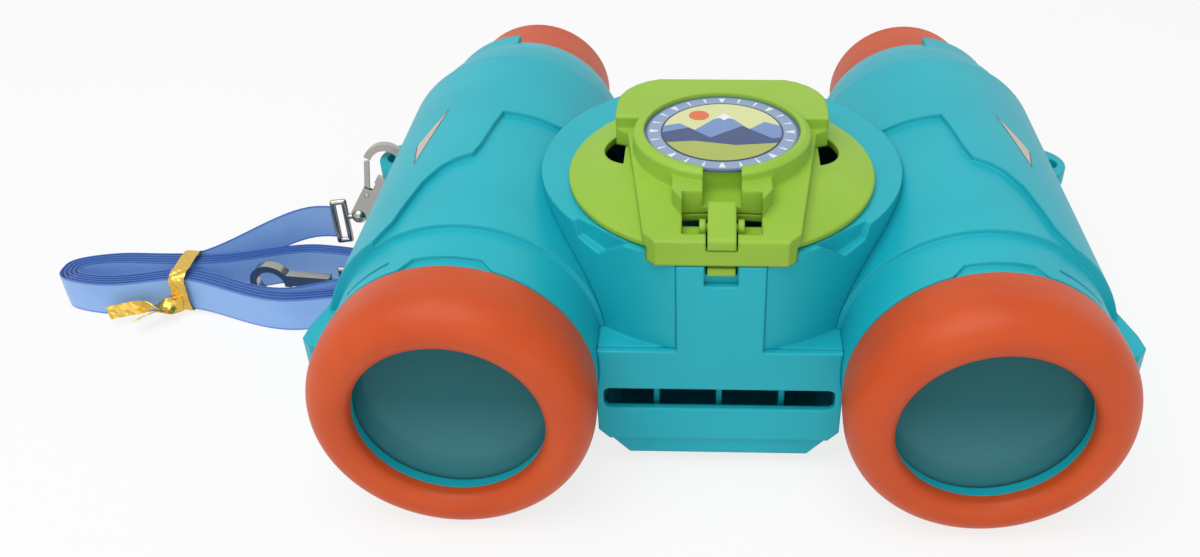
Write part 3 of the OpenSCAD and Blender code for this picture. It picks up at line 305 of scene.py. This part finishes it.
def hank_half(x):
    """Half width of the hank at a place along it. The small loop opens faster."""
    if x < WAIST_X:
        return WAIST_HALF + (SMALL_HALF - WAIST_HALF) * ease((WAIST_X - x) / LOOP_RUN * 1.4)
    return WAIST_HALF + (LARGE_HALF - WAIST_HALF) * ease((x - WAIST_X) / LOOP_RUN)


def hank_point(angle):
    """Middle line of the ribbon in mm, by its winding angle in degrees."""
    a = math.radians(angle)
    done, left = angle - HANK_START, HANK_STOP - angle
    inset = LAYER_STEP * (done / 360 - 0.12) + ease((40 - left) / 40)
    x = HANK_X + (HANK_HALF_LENGTH - inset) * math.cos(a)
    bulge = math.copysign(abs(math.sin(a)) ** ROUNDNESS, math.sin(a))
    y = HANK_Y + (hank_half(x) - inset) * bulge
    rise = OUTER_RISE * (1 - ease(done / 62)) + INNER_RISE * ease((60 - left) / 50)
    lift = WAIST_LIFT * math.exp(-((x - WAIST_X) / 11) ** 2)
    return Vector((x, y, RIBBON_W / 2 + 0.05 + max(rise, lift)))


hank_turn = HANK_STOP - HANK_START
steps = int(hank_turn / HANK_STEP)
line = [hank_point(HANK_START + hank_turn * i / steps) for i in range(steps + 1)]

# %% [markdown]
# Every piece that we draw ourselves starts as a bmesh and ends as an object in the scene. Two functions
# do what is common: one makes the faces between two rows of points, the other makes the object.

# %% From points to pieces
def bridge(mesh, a, b, closed=True):
    """Faces between two rows of points. Closed rows also join their ends."""
    count = len(a)
    for j in range(count if closed else count - 1):
        k = (j + 1) % count
        mesh.faces.new((a[j], a[k], b[k], b[j]))


def piece_from(mesh, name, sharp_deg=None):
    """An object from a bmesh. With sharp_deg it is smooth, apart from edges that turn by more."""
    data = bpy.data.meshes.new(name)
    mesh.to_mesh(data)
    mesh.free()
    if sharp_deg:
        data.shade_smooth()
        data.set_sharp_from_angle(angle=math.radians(sharp_deg))
    piece = bpy.data.objects.new(name, data)
    scene.collection.objects.link(piece)
    return piece


print("ready to make pieces")

# %% [markdown]
# Each ring of the ribbon has a row of points up its outer face and a row down its inner face, so it is a
# closed band with real thickness. A UV map along the length and across the width lets the satin material
# know where the selvage is.

# %% The ribbon's band
BAND_ROWS = 5
LEAN_MM, LEAN_RUN = 0.22, 26            # how far noise leans the band, and over which length it changes
RIPPLE_MM, RIPPLE_RUN = 0.10, 9
THIN_EDGE = 0.7                         # thickness at the two edges, as a share of the rest


def band_ring(p, out, run):
    """Points round the band at one place, each with its share of the width."""
    lean = LEAN_MM * noise.noise(Vector((run / LEAN_RUN, 3.7, 0)))
    ripple = RIPPLE_MM * noise.noise(Vector((run / RIPPLE_RUN, 0, 8.1)))
    ring = []
    for face in (1, -1):
        for k in range(BAND_ROWS)[::face]:
            v = k / (BAND_ROWS - 1)
            half = RIBBON_T / 2 * (THIN_EDGE if k in (0, BAND_ROWS - 1) else 1)
            bow = ripple * (1 - (2 * v - 1) ** 2)
            side = out * (face * half + lean * (v - 0.5) + bow)
            ring.append((p + side + Vector((0, 0, (v - 0.5) * RIBBON_W)), v))
    return ring


def ribbon_band(name, points):
    """The ribbon along its line, with the length and the width of each point as its UV."""
    mesh = bmesh.new()
    uv = mesh.loops.layers.uv.new("along")
    rings, run = [], 0.0
    for i, p in enumerate(points):
        ahead, behind = points[min(i + 1, len(points) - 1)], points[max(i - 1, 0)]
        way = Vector((ahead.x - behind.x, ahead.y - behind.y, 0)).normalized()
        run += (p - behind).length
        ring = band_ring(p, Vector((way.y, -way.x, 0)), run)
        rings.append([(mesh.verts.new(q * MM), v, run) for q, v in ring])
    for a, b in zip(rings, rings[1:]):
        for j in range(len(a)):
            k = (j + 1) % len(a)
            corners = (a[j], a[k], b[k], b[j])
            face = mesh.faces.new([c[0] for c in corners])
            for loop, c in zip(face.loops, corners):
                loop[uv].uv = (c[2] * MM, c[1])
    for ring in (rings[0], rings[-1]):
        mesh.faces.new([c[0] for c in ring])
    bmesh.ops.recalc_face_normals(mesh, faces=mesh.faces)
    return piece_from(mesh, name, sharp_deg=50)


ribbon = ribbon_band("satin_ribbon", line)
print("ribbon faces:", len(ribbon.data.polygons))

# %% [markdown]
# Polyester satin floats its threads along the ribbon, so it shines across them. Threads are 0.1 mm
# apart, too fine to see here, so the weave is drawn at 0.35 mm. The selvage on both edges is woven
# tighter and looks darker.

# %% Woven satin
THREAD_MM, MOTTLE_MM = 0.35, 7
SELVAGE = (0.43, 0.48)                  # from the middle line, as a share of the width


def woven_satin(name, face, edge):
    """Satin: a pale sheen on the flat face, a darker selvage, faint cross threads."""
    material, tree, shader, place = new_material(name)
    along = add(tree, "ShaderNodeUVMap", uv_map="along").outputs["UV"]
    split = add(tree, "ShaderNodeSeparateXYZ", {"Vector": along})
    off = reckon(tree, "ABSOLUTE", reckon(tree, "SUBTRACT", split.outputs["Y"], 0.5))
    near_edge = share_between(tree, off, *SELVAGE)
    mottle = spread(tree, spots(tree, place, MOTTLE_MM), 0.0, 0.25)
    dark = reckon(tree, "MAXIMUM", near_edge, mottle)
    turns = reckon(tree, "MULTIPLY", split.outputs["X"], 2 * math.pi / (THREAD_MM * MM))
    weft = reckon(tree, "SINE", turns)
    feed(tree, shader, {"Base Color": mixed(tree, dark, face, edge),
                        "Normal": relief(tree, weft, 0.25, 0.05),
                        "Roughness": 0.42, "Sheen Weight": 0.35, "Sheen Roughness": 0.4})
    return material


blue_satin = woven_satin("blue_woven_satin", "#93bdf5", "#4a79cc")
ribbon.data.materials.append(blue_satin)
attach(ribbon, "body")
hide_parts("strap_ribbon")
print("dressed", ribbon.name)

# %% [markdown]
# ## The foil tie
# A flat twist tie: paper-thin gold film over a wire, wrapped once round the waist and twisted in front.
# We sweep a narrow flat strip along a closed rounded path for the wrap, and twist two more strips for
# its ends.

# %% Strips of foil
FOIL_T, WRAP_W, TAIL_W = 0.25, 4.2, 3.8
FOLD_RUN = 3.3                          # the folds of the wrap are this far apart
ACROSS = (-1, -0.5, 0, 0.5, 1)          # places across a strip, as shares of its half width
STRIP_RING = [(u, -1) for u in ACROSS] + [(u, 1) for u in reversed(ACROSS)]


def strip(name, points, wides, width, fold, closed=False):
    """A strip along points. Each wide is the way its width lies; fold is its height along and across."""
    mesh = bmesh.new()
    rings, count, run = [], len(points), 0.0
    for i, p in enumerate(points):
        ahead = points[(i + 1) % count] if closed else points[min(i + 1, count - 1)]
        behind = points[i - 1] if closed else points[max(i - 1, 0)]
        way = (ahead - behind).normalized()
        wide = (wides[i] - way * wides[i].dot(way)).normalized()
        thin = way.cross(wide)
        ring = []
        for u, side in STRIP_RING:
            height = side * FOIL_T / 2 + fold(run, u)
            ring.append(mesh.verts.new((p + wide * (u * width / 2) + thin * height) * MM))
        rings.append(ring)
        run += (ahead - p).length
    for a, b in zip(rings, rings[1:] + rings[:1] if closed else rings[1:]):
        bridge(mesh, a, b)
    if not closed:
        mesh.faces.new(rings[0])
        mesh.faces.new(rings[-1])
    bmesh.ops.recalc_face_normals(mesh, faces=mesh.faces)
    return piece_from(mesh, name)


def rounded_loop(half_y, half_z, middle_z, corner, count=120):
    """Points of a rounded rectangle round the waist, in the plane across the hank."""
    points = []
    for i in range(count):
        a = 2 * math.pi * i / count
        c, s = math.cos(a), math.sin(a)
        y = half_y * math.copysign(abs(c) ** corner, c)
        z = half_z * math.copysign(abs(s) ** corner, s)
        points.append(Vector((WAIST_X, HANK_Y + y, middle_z + z)))
    return points


def slanted_folds(run, u):
    """Folds that run slantwise across the wrap, as a twisted strip has."""
    return 0.3 * abs(math.sin(math.pi * (run / FOLD_RUN + 0.5 * u))) - 0.15


wrap_line = rounded_loop(half_y=7.35, half_z=5.95, middle_z=6.45, corner=0.35)
along_hank = [Vector((1, 0, 0))] * len(wrap_line)
wrap = strip("foil_tie", wrap_line, along_hank, WRAP_W, slanted_folds, closed=True)
print("wrap points:", len(wrap_line))

# %% [markdown]
# Its two ends stick out in front. Each is the same strip, turned about its own line as it goes, and
# crumpled a little by noise.

# %% The twisted ends of the tie
TAIL_STEPS = 40
UP = Vector((0, 0, 1))


def crumple(run, u):
    """Uneven height of a crumpled strip, along and across."""
    return 0.16 * noise.noise(Vector((run * 0.8, u * 1.7, 5.0)))


def tail(name, turn, rise, length, twists):
    """One end of the tie. Turn is its direction in degrees from the hank's long axis."""
    way = Vector((-math.cos(math.radians(turn)), -math.sin(math.radians(turn)), 0))
    start = Vector((WAIST_X, HANK_Y - 7.55, 2.6 + rise))
    points, wides = [], []
    for i in range(TAIL_STEPS + 1):
        t = i / TAIL_STEPS
        points.append(start + way * (length * t) + Vector((0, 0, 0.8 * math.sin(3 * t))))
        a = math.pi * twists * ease(t * 1.6)
        wides.append(UP * math.cos(a) + way.cross(UP) * math.sin(a))
    return strip(name, points, wides, TAIL_W, crumple)


tails = [tail("foil_tail_long", turn=14, rise=1.2, length=19, twists=1.1),
         tail("foil_tail_short", turn=36, rise=0.9, length=13, twists=0.7)]
print("tails:", [t.name for t in tails])

# %% [markdown]
# Metallised film is a mirror of aluminium under a yellow lacquer. It creases sharply, so each crease has
# its own glint. A cell pattern with 1.5 mm cells gives those facets.

# %% Metallised film
CREASE_MM = 1.5


def gold_film(name, colour):
    """Gold film: a warm metal that breaks into bright and dark creases."""
    material, tree, shader, place = new_material(name)
    inputs = {"Vector": place, "Scale": 1 / (CREASE_MM * MM)}
    creases = add(tree, "ShaderNodeTexVoronoi", inputs).outputs["Distance"]
    feed(tree, shader, {"Base Color": linear(colour), "Metallic": 1.0,
                        "Roughness": spread(tree, creases, 0.18, 0.34),
                        "Normal": relief(tree, creases, 0.5, 0.4)})
    return material


foil = gold_film("gold_metallised_film", "#d8b456")
for piece in [wrap, *tails]:
    piece.data.materials.append(foil)
    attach(piece, "body")
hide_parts("strap_tie")
print("foil on", 1 + len(tails), "pieces")

# %% [markdown]
# The ribbon is one long flat strip that is folded to and fro, with both hooks on it.

# %% [markdown]
# ## Turned pieces
# Rings, eyecups and lenses are all turned about a barrel's axis. The CAD mesh is faceted, so we spin the
# same profile again with finer steps. A profile is a list of radius and station, where the station is the
# distance from the front of the rings.

# %% A lathe
AXIS_X, AXIS_Z, FRONT = 55.5, 30.0, -79.5
LATHE_STEPS = 160


def lathe(name, side, profile, material, node, closed=True):
    """Spins a profile about a barrel's axis. A profile that isn't closed ends on the axis."""
    mesh = bmesh.new()
    rings = []
    for i in range(LATHE_STEPS):
        a = 2 * math.pi * i / LATHE_STEPS
        spun = [(side * AXIS_X + r * math.sin(a), FRONT + s, AXIS_Z + r * math.cos(a)) for r, s in profile]
        rings.append([mesh.verts.new(Vector(q) * MM) for q in spun])
    for a, b in zip(rings, rings[1:] + rings[:1]):
        bridge(mesh, a, b, closed)
    if not closed:
        bmesh.ops.remove_doubles(mesh, verts=mesh.verts, dist=1e-7)
    bmesh.ops.recalc_face_normals(mesh, faces=mesh.faces)
    piece = piece_from(mesh, name, sharp_deg=32)
    piece.data.materials.append(material)
    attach(piece, "body")
    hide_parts(node)
    return piece


def arc(cr, cs, rr, rs, start, stop, count):
    """Points of an elliptic arc in radius and station, from its centre and its two half axes."""
    turns = [math.radians(start + (stop - start) * i / count) for i in range(count + 1)]
    return [(cr + rr * math.cos(t), cs - rs * math.sin(t)) for t in turns]


print("lathe ready")

# %% [markdown]
# The ring is a fat tyre with a short lip inside its opening. Its crown is a quarter of an ellipse, and its
# back falls away in a second arc, down to the barrel.

# %% The orange rings
OPENING_R, SEAT_R = 20.0, 26.46
SEAT_START, WIDEST, RING_LENGTH = 4.14, 8.6, 17.5

lip = [(OPENING_R, SEAT_START), (OPENING_R, 2.75), (20.12, 2.15), (20.45, 1.5), (21.05, 0.85),
       (21.8, 0.4), (22.6, 0.12)]
crown = arc(23.6, WIDEST, 6.4, WIDEST, 92, 0, 30)
back = arc(28.9, WIDEST, 1.1, 8.7, 0, -80, 14)
seat = [(28.7, RING_LENGTH), (SEAT_R, RING_LENGTH), (SEAT_R, SEAT_START)]
ring_profile = lip + crown[:-1] + back + seat
rings = [lathe(n + "_ring", s, ring_profile, orange_vinyl, n + "_objective_ring")
         for n, s in SIDES]
print("ring faces:", [len(r.data.polygons) for r in rings])

# %% [markdown]
# ## Lenses
# The front lens is a shallow curved disc behind a turquoise retaining ring. It looks dark because the
# barrel behind it is nearly closed. The eye lens is smaller and bulges to the rear.

# %% The front and rear lenses
def lens_profile(r, middle, fall, flat, count):
    """A lens with one curved face, whose rim is fall further on than its middle, and one flat face."""
    curve = [(r * i / count, middle + fall * (i / count) ** 2) for i in range(1, count + 1)]
    return [(0.0, middle)] + curve + [(r, flat), (0.0, flat)]


front_lens = lens_profile(22.9, middle=7.27, fall=0.35, flat=9.2, count=12)
rear_lens = lens_profile(15.9, middle=149.55, fall=-0.95, flat=147.07, count=8)
for n, s in SIDES:
    lathe(n + "_front_lens", s, front_lens, objective_acrylic, n + "_objective_lens", closed=False)
    lathe(n + "_rear_lens", s, rear_lens, objective_acrylic, n + "_eye_lens", closed=False)
print("lenses made")

# %% [markdown]
# The eyecup is a soft tube that narrows to the rear and ends in a rolled rim. Its neck sits in the barrel.

# %% The eyecups
NECK_R, BORE_R, HOLLOW_R = 21.0, 13.5, 16.0
NECK_START, WALL_START, HOLLOW_START = 128.36, 134.36, 147.0

neck = [(BORE_R, NECK_START), (NECK_R, NECK_START), (NECK_R, WALL_START)]
wall = [(23.0, WALL_START), (23.2, 134.7), (22.9, 138.4), (21.4, 152.6)]
rim = arc(18.9, 156.8, 2.1, 2.2, 0, -90, 10) + [(17.4, 159.0), (16.6, 158.8), (16.1, 158.2)]
hollow = [(HOLLOW_R, 157.4), (HOLLOW_R, HOLLOW_START), (BORE_R, HOLLOW_START)]
cup_profile = neck + wall + rim + hollow
for n, s in SIDES:
    lathe(n + "_eyecup_soft", s, cup_profile, orange_vinyl, n + "_eyecup")
print("eyecups made")

# %% [markdown]
# ## Moulded shells
# A moulded edge is never sharp. The CAD solids have sharp edges, so each shell is copied, its flat facets
# are merged, and every edge that turns by more than 30 degrees gets a small rounding. The copy then
# stands for the CAD node, which is left untouched.

# %% Rounding the moulded edges
EDGE_TURN, FLAT_TURN = math.radians(30), math.radians(0.4)


def rounded_copy(node, material, body, width=0.5):
    """A copy of a CAD node with its edges rounded, by at most width in mm."""
    data = nodes[node].data.copy()
    data.name = node + "_moulded"
    mesh = bmesh.new()
    mesh.from_mesh(data)
    bmesh.ops.remove_doubles(mesh, verts=mesh.verts, dist=2e-6)
    bmesh.ops.dissolve_limit(mesh, angle_limit=FLAT_TURN, verts=mesh.verts, edges=mesh.edges)
    mesh.to_mesh(data)
    mesh.free()
    data.materials.clear()
    data.materials.append(material)
    piece = bpy.data.objects.new(data.name, data)
    scene.collection.objects.link(piece)
    bevel = piece.modifiers.new("rounding", "BEVEL")
    bevel.width, bevel.segments = width * MM, 3
    bevel.limit_method, bevel.angle_limit = "ANGLE", EDGE_TURN
    bevel.use_clamp_overlap = True
    data.shade_smooth()
    even = piece.modifiers.new("even_normals", "WEIGHTED_NORMAL")
    even.weight, even.keep_sharp = 60, False
    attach(piece, body)
    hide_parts(node)
    return piece


turquoise_nodes = ["left_barrel_top", "right_barrel_top", "left_barrel_bottom", "right_barrel_bottom",
                   "left_lens_retainer", "right_lens_retainer", "front_plate", "drum", "bottom_tray"]
for n in turquoise_nodes:
    rounded_copy(n, turquoise_abs, "body")
for n in ("lid_saucer", "lid_housing"):
    rounded_copy(n, green_abs, "lid")
rounded_copy("latch_pin", green_abs, "lid", 0.1)
rounded_copy("latch_lever", green_abs, "latch")
print("rounded", len(turquoise_nodes) + 4, "shells")

# %% [markdown]
# The hooks, gates and pins are small, so they get smaller roundings. A gate rides on its own body,
# because it turns in its hook.

# %% Metal pieces
for n in ("near_hook", "near_strap_ring", "far_hook", "far_strap_ring"):
    rounded_copy(n, bright_nickel, "body", 0.2)
for n in ("near_gate", "far_gate"):
    rounded_copy(n, bright_nickel, n, 0.15)
for n in ("barrel_screws", "tray_screws", "lid_hinge_pin", "near_gate_pin", "far_gate_pin"):
    rounded_copy(n, zinc_steel, "body", 0.1)
print("metal pieces dressed")

# %% [markdown]
# ## Printed film
# The badge and the side stickers are film printed in flat spot colours and glued on. A shader could
# paint such a picture, but flat shapes with a colour of their own are simpler to read and stay sharp at
# any size. Each shape is a polygon, one to three hundredths of a millimetre above the one below. The
# picture here is a plain one of hills and a sun inside a dial of ticks.

# %% Spot colours on film
DOT_MM = 0.6


def printed_film(name):
    """Printed film: flat ink colours under a clear, fairly glossy skin."""
    material, tree, shader, place = new_material(name)
    ink = add(tree, "ShaderNodeVertexColor", layer_name="ink").outputs["Color"]
    dots = spots(tree, place, DOT_MM)
    feed(tree, shader, {"Base Color": ink, "Roughness": spread(tree, dots, 0.26, 0.36)})
    return material


film = printed_film("printed_polyester_film")


def print_piece(name, shapes, body):
    """One flat piece from shapes, each a list of points in mm with its ink."""
    mesh = bmesh.new()
    layer = mesh.loops.layers.float_color.new("ink")
    for points, ink in shapes:
        face = mesh.faces.new([mesh.verts.new(Vector(q) * MM) for q in points])
        for loop in face.loops:
            loop[layer] = linear(ink)
    piece = piece_from(mesh, name)
    piece.data.materials.append(film)
    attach(piece, body)
    return piece


print("made", film.name)

# %% [markdown]
# The badge is a round film in the boss of the lid. The hills are cut to the circle edge by edge, so that
# nothing hangs over its border.

# %% Shapes on a round film
BADGE_Y, BADGE_Z, BADGE_R = -24.1, 69.3, 17.15


def disc(r, count=96):
    """Points of a circle about the middle."""
    turns = [2 * math.pi * i / count for i in range(count)]
    return [(r * math.cos(t), r * math.sin(t)) for t in turns]


def clipped(points, r):
    """The part of a polygon inside a circle, cut edge by edge."""
    edge = disc(r, 72)
    for a, b in zip(edge, edge[1:] + edge[:1]):
        side = [(b[0] - a[0]) * (y - a[1]) - (b[1] - a[1]) * (x - a[0]) for x, y in points]
        kept = []
        for i, (p, d) in enumerate(zip(points, side)):
            q, e = points[i - 1], side[i - 1]
            if (d >= 0) != (e >= 0):
                s = e / (e - d)
                kept.append((q[0] + s * (p[0] - q[0]), q[1] + s * (p[1] - q[1])))
            if d >= 0:
                kept.append(p)
        points = kept
    return points


def tick(angle, inner, outer, half):
    """A mark of the dial, narrower towards the middle."""
    a = math.radians(angle)
    along, across = (math.cos(a), math.sin(a)), (-math.sin(a), math.cos(a))
    return [(along[0] * r + across[0] * w, along[1] * r + across[1] * w)
            for r, w in ((inner, -half * 0.3), (outer, -half), (outer, half), (inner, half * 0.3))]


print("a disc has", len(disc(BADGE_R)), "points")

# %% [markdown]
# Each shape has a level, which is its height in the stack, and an ink. Far things come first.

# %% The badge
DIAL_R, LINE_R, VIEW_R = BADGE_R * 0.96, BADGE_R * 0.79, BADGE_R * 0.765
TICK_INNER, TICK_OUTER = BADGE_R * 0.82, BADGE_R * 0.93
FIRST_LEVEL, LEVEL_STEP = 0.01, 0.015

far_hills = [(-20, -20), (-20, 0), (-9.5, 3.5), (-6, 0.5), (0.5, 8.5), (6, 1), (9.5, 4.5), (20, -1),
             (20, -20)]
near_hills = [(-20, -20), (-20, -3.5), (-7.5, 1.5), (-2.5, -3), (4.5, 2.5), (11, -3.2), (20, -1),
              (20, -20)]
field = [(-20, -20), (-20, -6.2), (-6, -4.6), (3, -6.4), (20, -4.2), (20, -20)]
snow = [(-1.9, 5.6), (0.5, 8.5), (2.6, 5.65), (1.4, 6.1), (0.5, 5.1), (-0.6, 6.2)]
sun = [(x - 5.2, y + 7.4) for x, y in disc(2.3, 40)]
flat = [(0, disc(BADGE_R), "#51678f"), (1, disc(DIAL_R), "#8ba3c2")]
for angle in range(0, 360, 15):
    half_width = 0.75 if angle % 45 == 0 else 0.35
    flat.append((2, tick(angle, TICK_INNER, TICK_OUTER, half_width), "#e8edf2"))
flat += [(2, disc(LINE_R), "#26365c"), (3, disc(VIEW_R), "#d9dfa0"), (4, sun, "#e26a3a"),
         (5, clipped(far_hills, VIEW_R), "#6f90c4"), (6, snow, "#eef2f6"),
         (7, clipped(near_hills, VIEW_R), "#2f4677"), (8, clipped(field, VIEW_R), "#a9b653")]
shapes = [([(x, BADGE_Y + y, BADGE_Z + FIRST_LEVEL + LEVEL_STEP * level) for x, y in points], ink)
          for level, points, ink in flat]
print_piece("badge_print", shapes, "lid")
badge_base = moulded_abs("badge_blue_moulded_styrene", "#51678f", "#4b6188", rough=0.35)
rounded_copy("lid_badge", badge_base, "lid", 0.05)
print("badge shapes:", len(shapes))

# %% [markdown]
# A sticker on the outer flank of each barrel is a plain silver triangle with a dark border. It has to
# follow the round skin, so each triangle is cut into small ones that are bent round the axis.

# %% The side stickers
BORDER_R, SILVER_R = 31.53, 31.56       # just above the skin of the barrel, one over the other
SILVER_SHARE = 0.86
STICKERS = (("left", -1, [(22, 86), (30, 60), (34, 71)]), ("right", 1, [(21, 84), (30, 61), (34, 71)]))


def bent_triangle(side, corners, r, steps=14):
    """Small triangles of a triangle given by angle from the top and station, bent to radius r."""
    def spot(i, j):
        u, v = i / steps, j / steps
        angle, station = [c[0] * (1 - u - v) + c[1] * u + c[2] * v for c in zip(*corners)]
        a = math.radians(angle)
        return (side * (AXIS_X + r * math.sin(a)), FRONT + station, AXIS_Z + r * math.cos(a))
    cells = []
    for i in range(steps):
        for j in range(steps - i):
            cells.append([spot(i, j), spot(i + 1, j), spot(i, j + 1)])
            if i + j < steps - 1:
                cells.append([spot(i + 1, j), spot(i + 1, j + 1), spot(i, j + 1)])
    return cells


def shrunk(corners, share):
    """Corners of a triangle, drawn in towards its middle."""
    middle = [sum(c[k] for c in corners) / 3 for k in (0, 1)]
    return [[m + (v - m) * share for v, m in zip(c, middle)] for c in corners]


for n, side, corners in STICKERS:
    cells = [(c, "#23262b") for c in bent_triangle(side, corners, BORDER_R)]
    cells += [(c, "#b9b8ae") for c in bent_triangle(side, shrunk(corners, SILVER_SHARE), SILVER_R)]
    print_piece(n + "_sticker", cells, "body")
print("stickers made")

# %% [markdown]
# ## Floor
# The toy stands on white paper. The paper could be lit until it is white, but then the toy would be too
# bright. Instead most of what the camera sees of it is its own white, and the rest is lit and keeps a
# soft shadow.

# %% The floor
FLOOR_HALF = 3                          # metres
OWN_WHITE = 0.8                         # share of the paper's look that is its own white


def is_seen(tree):
    """1 where the camera looks, also in a gloss or through a clear piece, and 0 for light that bounces."""
    path = add(tree, "ShaderNodeLightPath").outputs
    direct = reckon(tree, "MAXIMUM", path["Is Camera Ray"], path["Is Glossy Ray"])
    return reckon(tree, "MAXIMUM", direct, path["Is Transmission Ray"])


def white_floor(name):
    """Matt white paper: it takes a soft shadow and stays almost white everywhere else."""
    material = bpy.data.materials.new(name)
    material.use_nodes = True
    tree = material.node_tree
    tree.nodes.clear()
    share = reckon(tree, "MULTIPLY", is_seen(tree), OWN_WHITE)
    paper = add(tree, "ShaderNodeBsdfDiffuse", {"Color": linear("#f4f4f4")})
    glow = add(tree, "ShaderNodeEmission", {"Color": linear("#ffffff"), "Strength": 1.0})
    mix = add(tree, "ShaderNodeMixShader", {0: share, 1: paper.outputs[0], 2: glow.outputs[0]})
    add(tree, "ShaderNodeOutputMaterial", {"Surface": mix.outputs[0]})
    return material


corners = [(x * FLOOR_HALF, y * FLOOR_HALF, 0) for x, y in ((-1, -1), (1, -1), (1, 1), (-1, 1))]
data = bpy.data.meshes.new("floor")
data.from_pydata(corners, [], [(0, 1, 2, 3)])
floor = bpy.data.objects.new("floor", data)
floor.location.z = -0.05 * MM
floor.data.materials.append(white_floor("white_paper_sweep"))
scene.collection.objects.link(floor)
print("floor made")

# %% [markdown]
# ## Light
# A large soft lamp overhead gives the broad highlights, a weak reflector in front lifts the faces that
# look at the camera, and an even pale room fills the rest. Glossy pieces see the room as white.

# %% The room
ROOM_LIGHT, ROOM_LOOK = 0.45, 1.0       # strength of the room as a lamp, and as it is seen

world = bpy.data.worlds.new("white_room")
scene.world = world
world.use_nodes = True
air = world.node_tree
air.nodes.clear()
level = spread(air, is_seen(air), ROOM_LIGHT, ROOM_LOOK)
room = add(air, "ShaderNodeBackground", {"Color": linear("#ffffff"), "Strength": level})
add(air, "ShaderNodeOutputWorld", {"Surface": room.outputs[0]})
scene.view_settings.view_transform = "Standard"
print("made", world.name)

# %% [markdown]
# Both lamps are area lamps, because a large lamp gives soft shadows. Sizes and places are in metres and
# the energy in watts.

# %% The lamps
def area_lamp(name, place, aim, **settings):
    """A large soft lamp that looks at a point."""
    data = bpy.data.lights.new(name, "AREA")
    for key, value in settings.items():
        setattr(data, key, value)
    lamp = bpy.data.objects.new(name, data)
    lamp.location = place
    lamp.rotation_euler = (Vector(aim) - lamp.location).to_track_quat("-Z", "Y").to_euler()
    scene.collection.objects.link(lamp)
    return lamp


lamps = [area_lamp("overhead_softbox", (-0.2, -0.3, 0.9), (0, 0, 0.03), energy=5.8,
                   shape="DISK", size=0.9),
         area_lamp("front_reflector", (0.1, -1.1, 0.26), (0, 0, 0.02), energy=1.6,
                   shape="RECTANGLE", size=1.2, size_y=0.5)]
print("lamps:", [lamp.name for lamp in lamps])
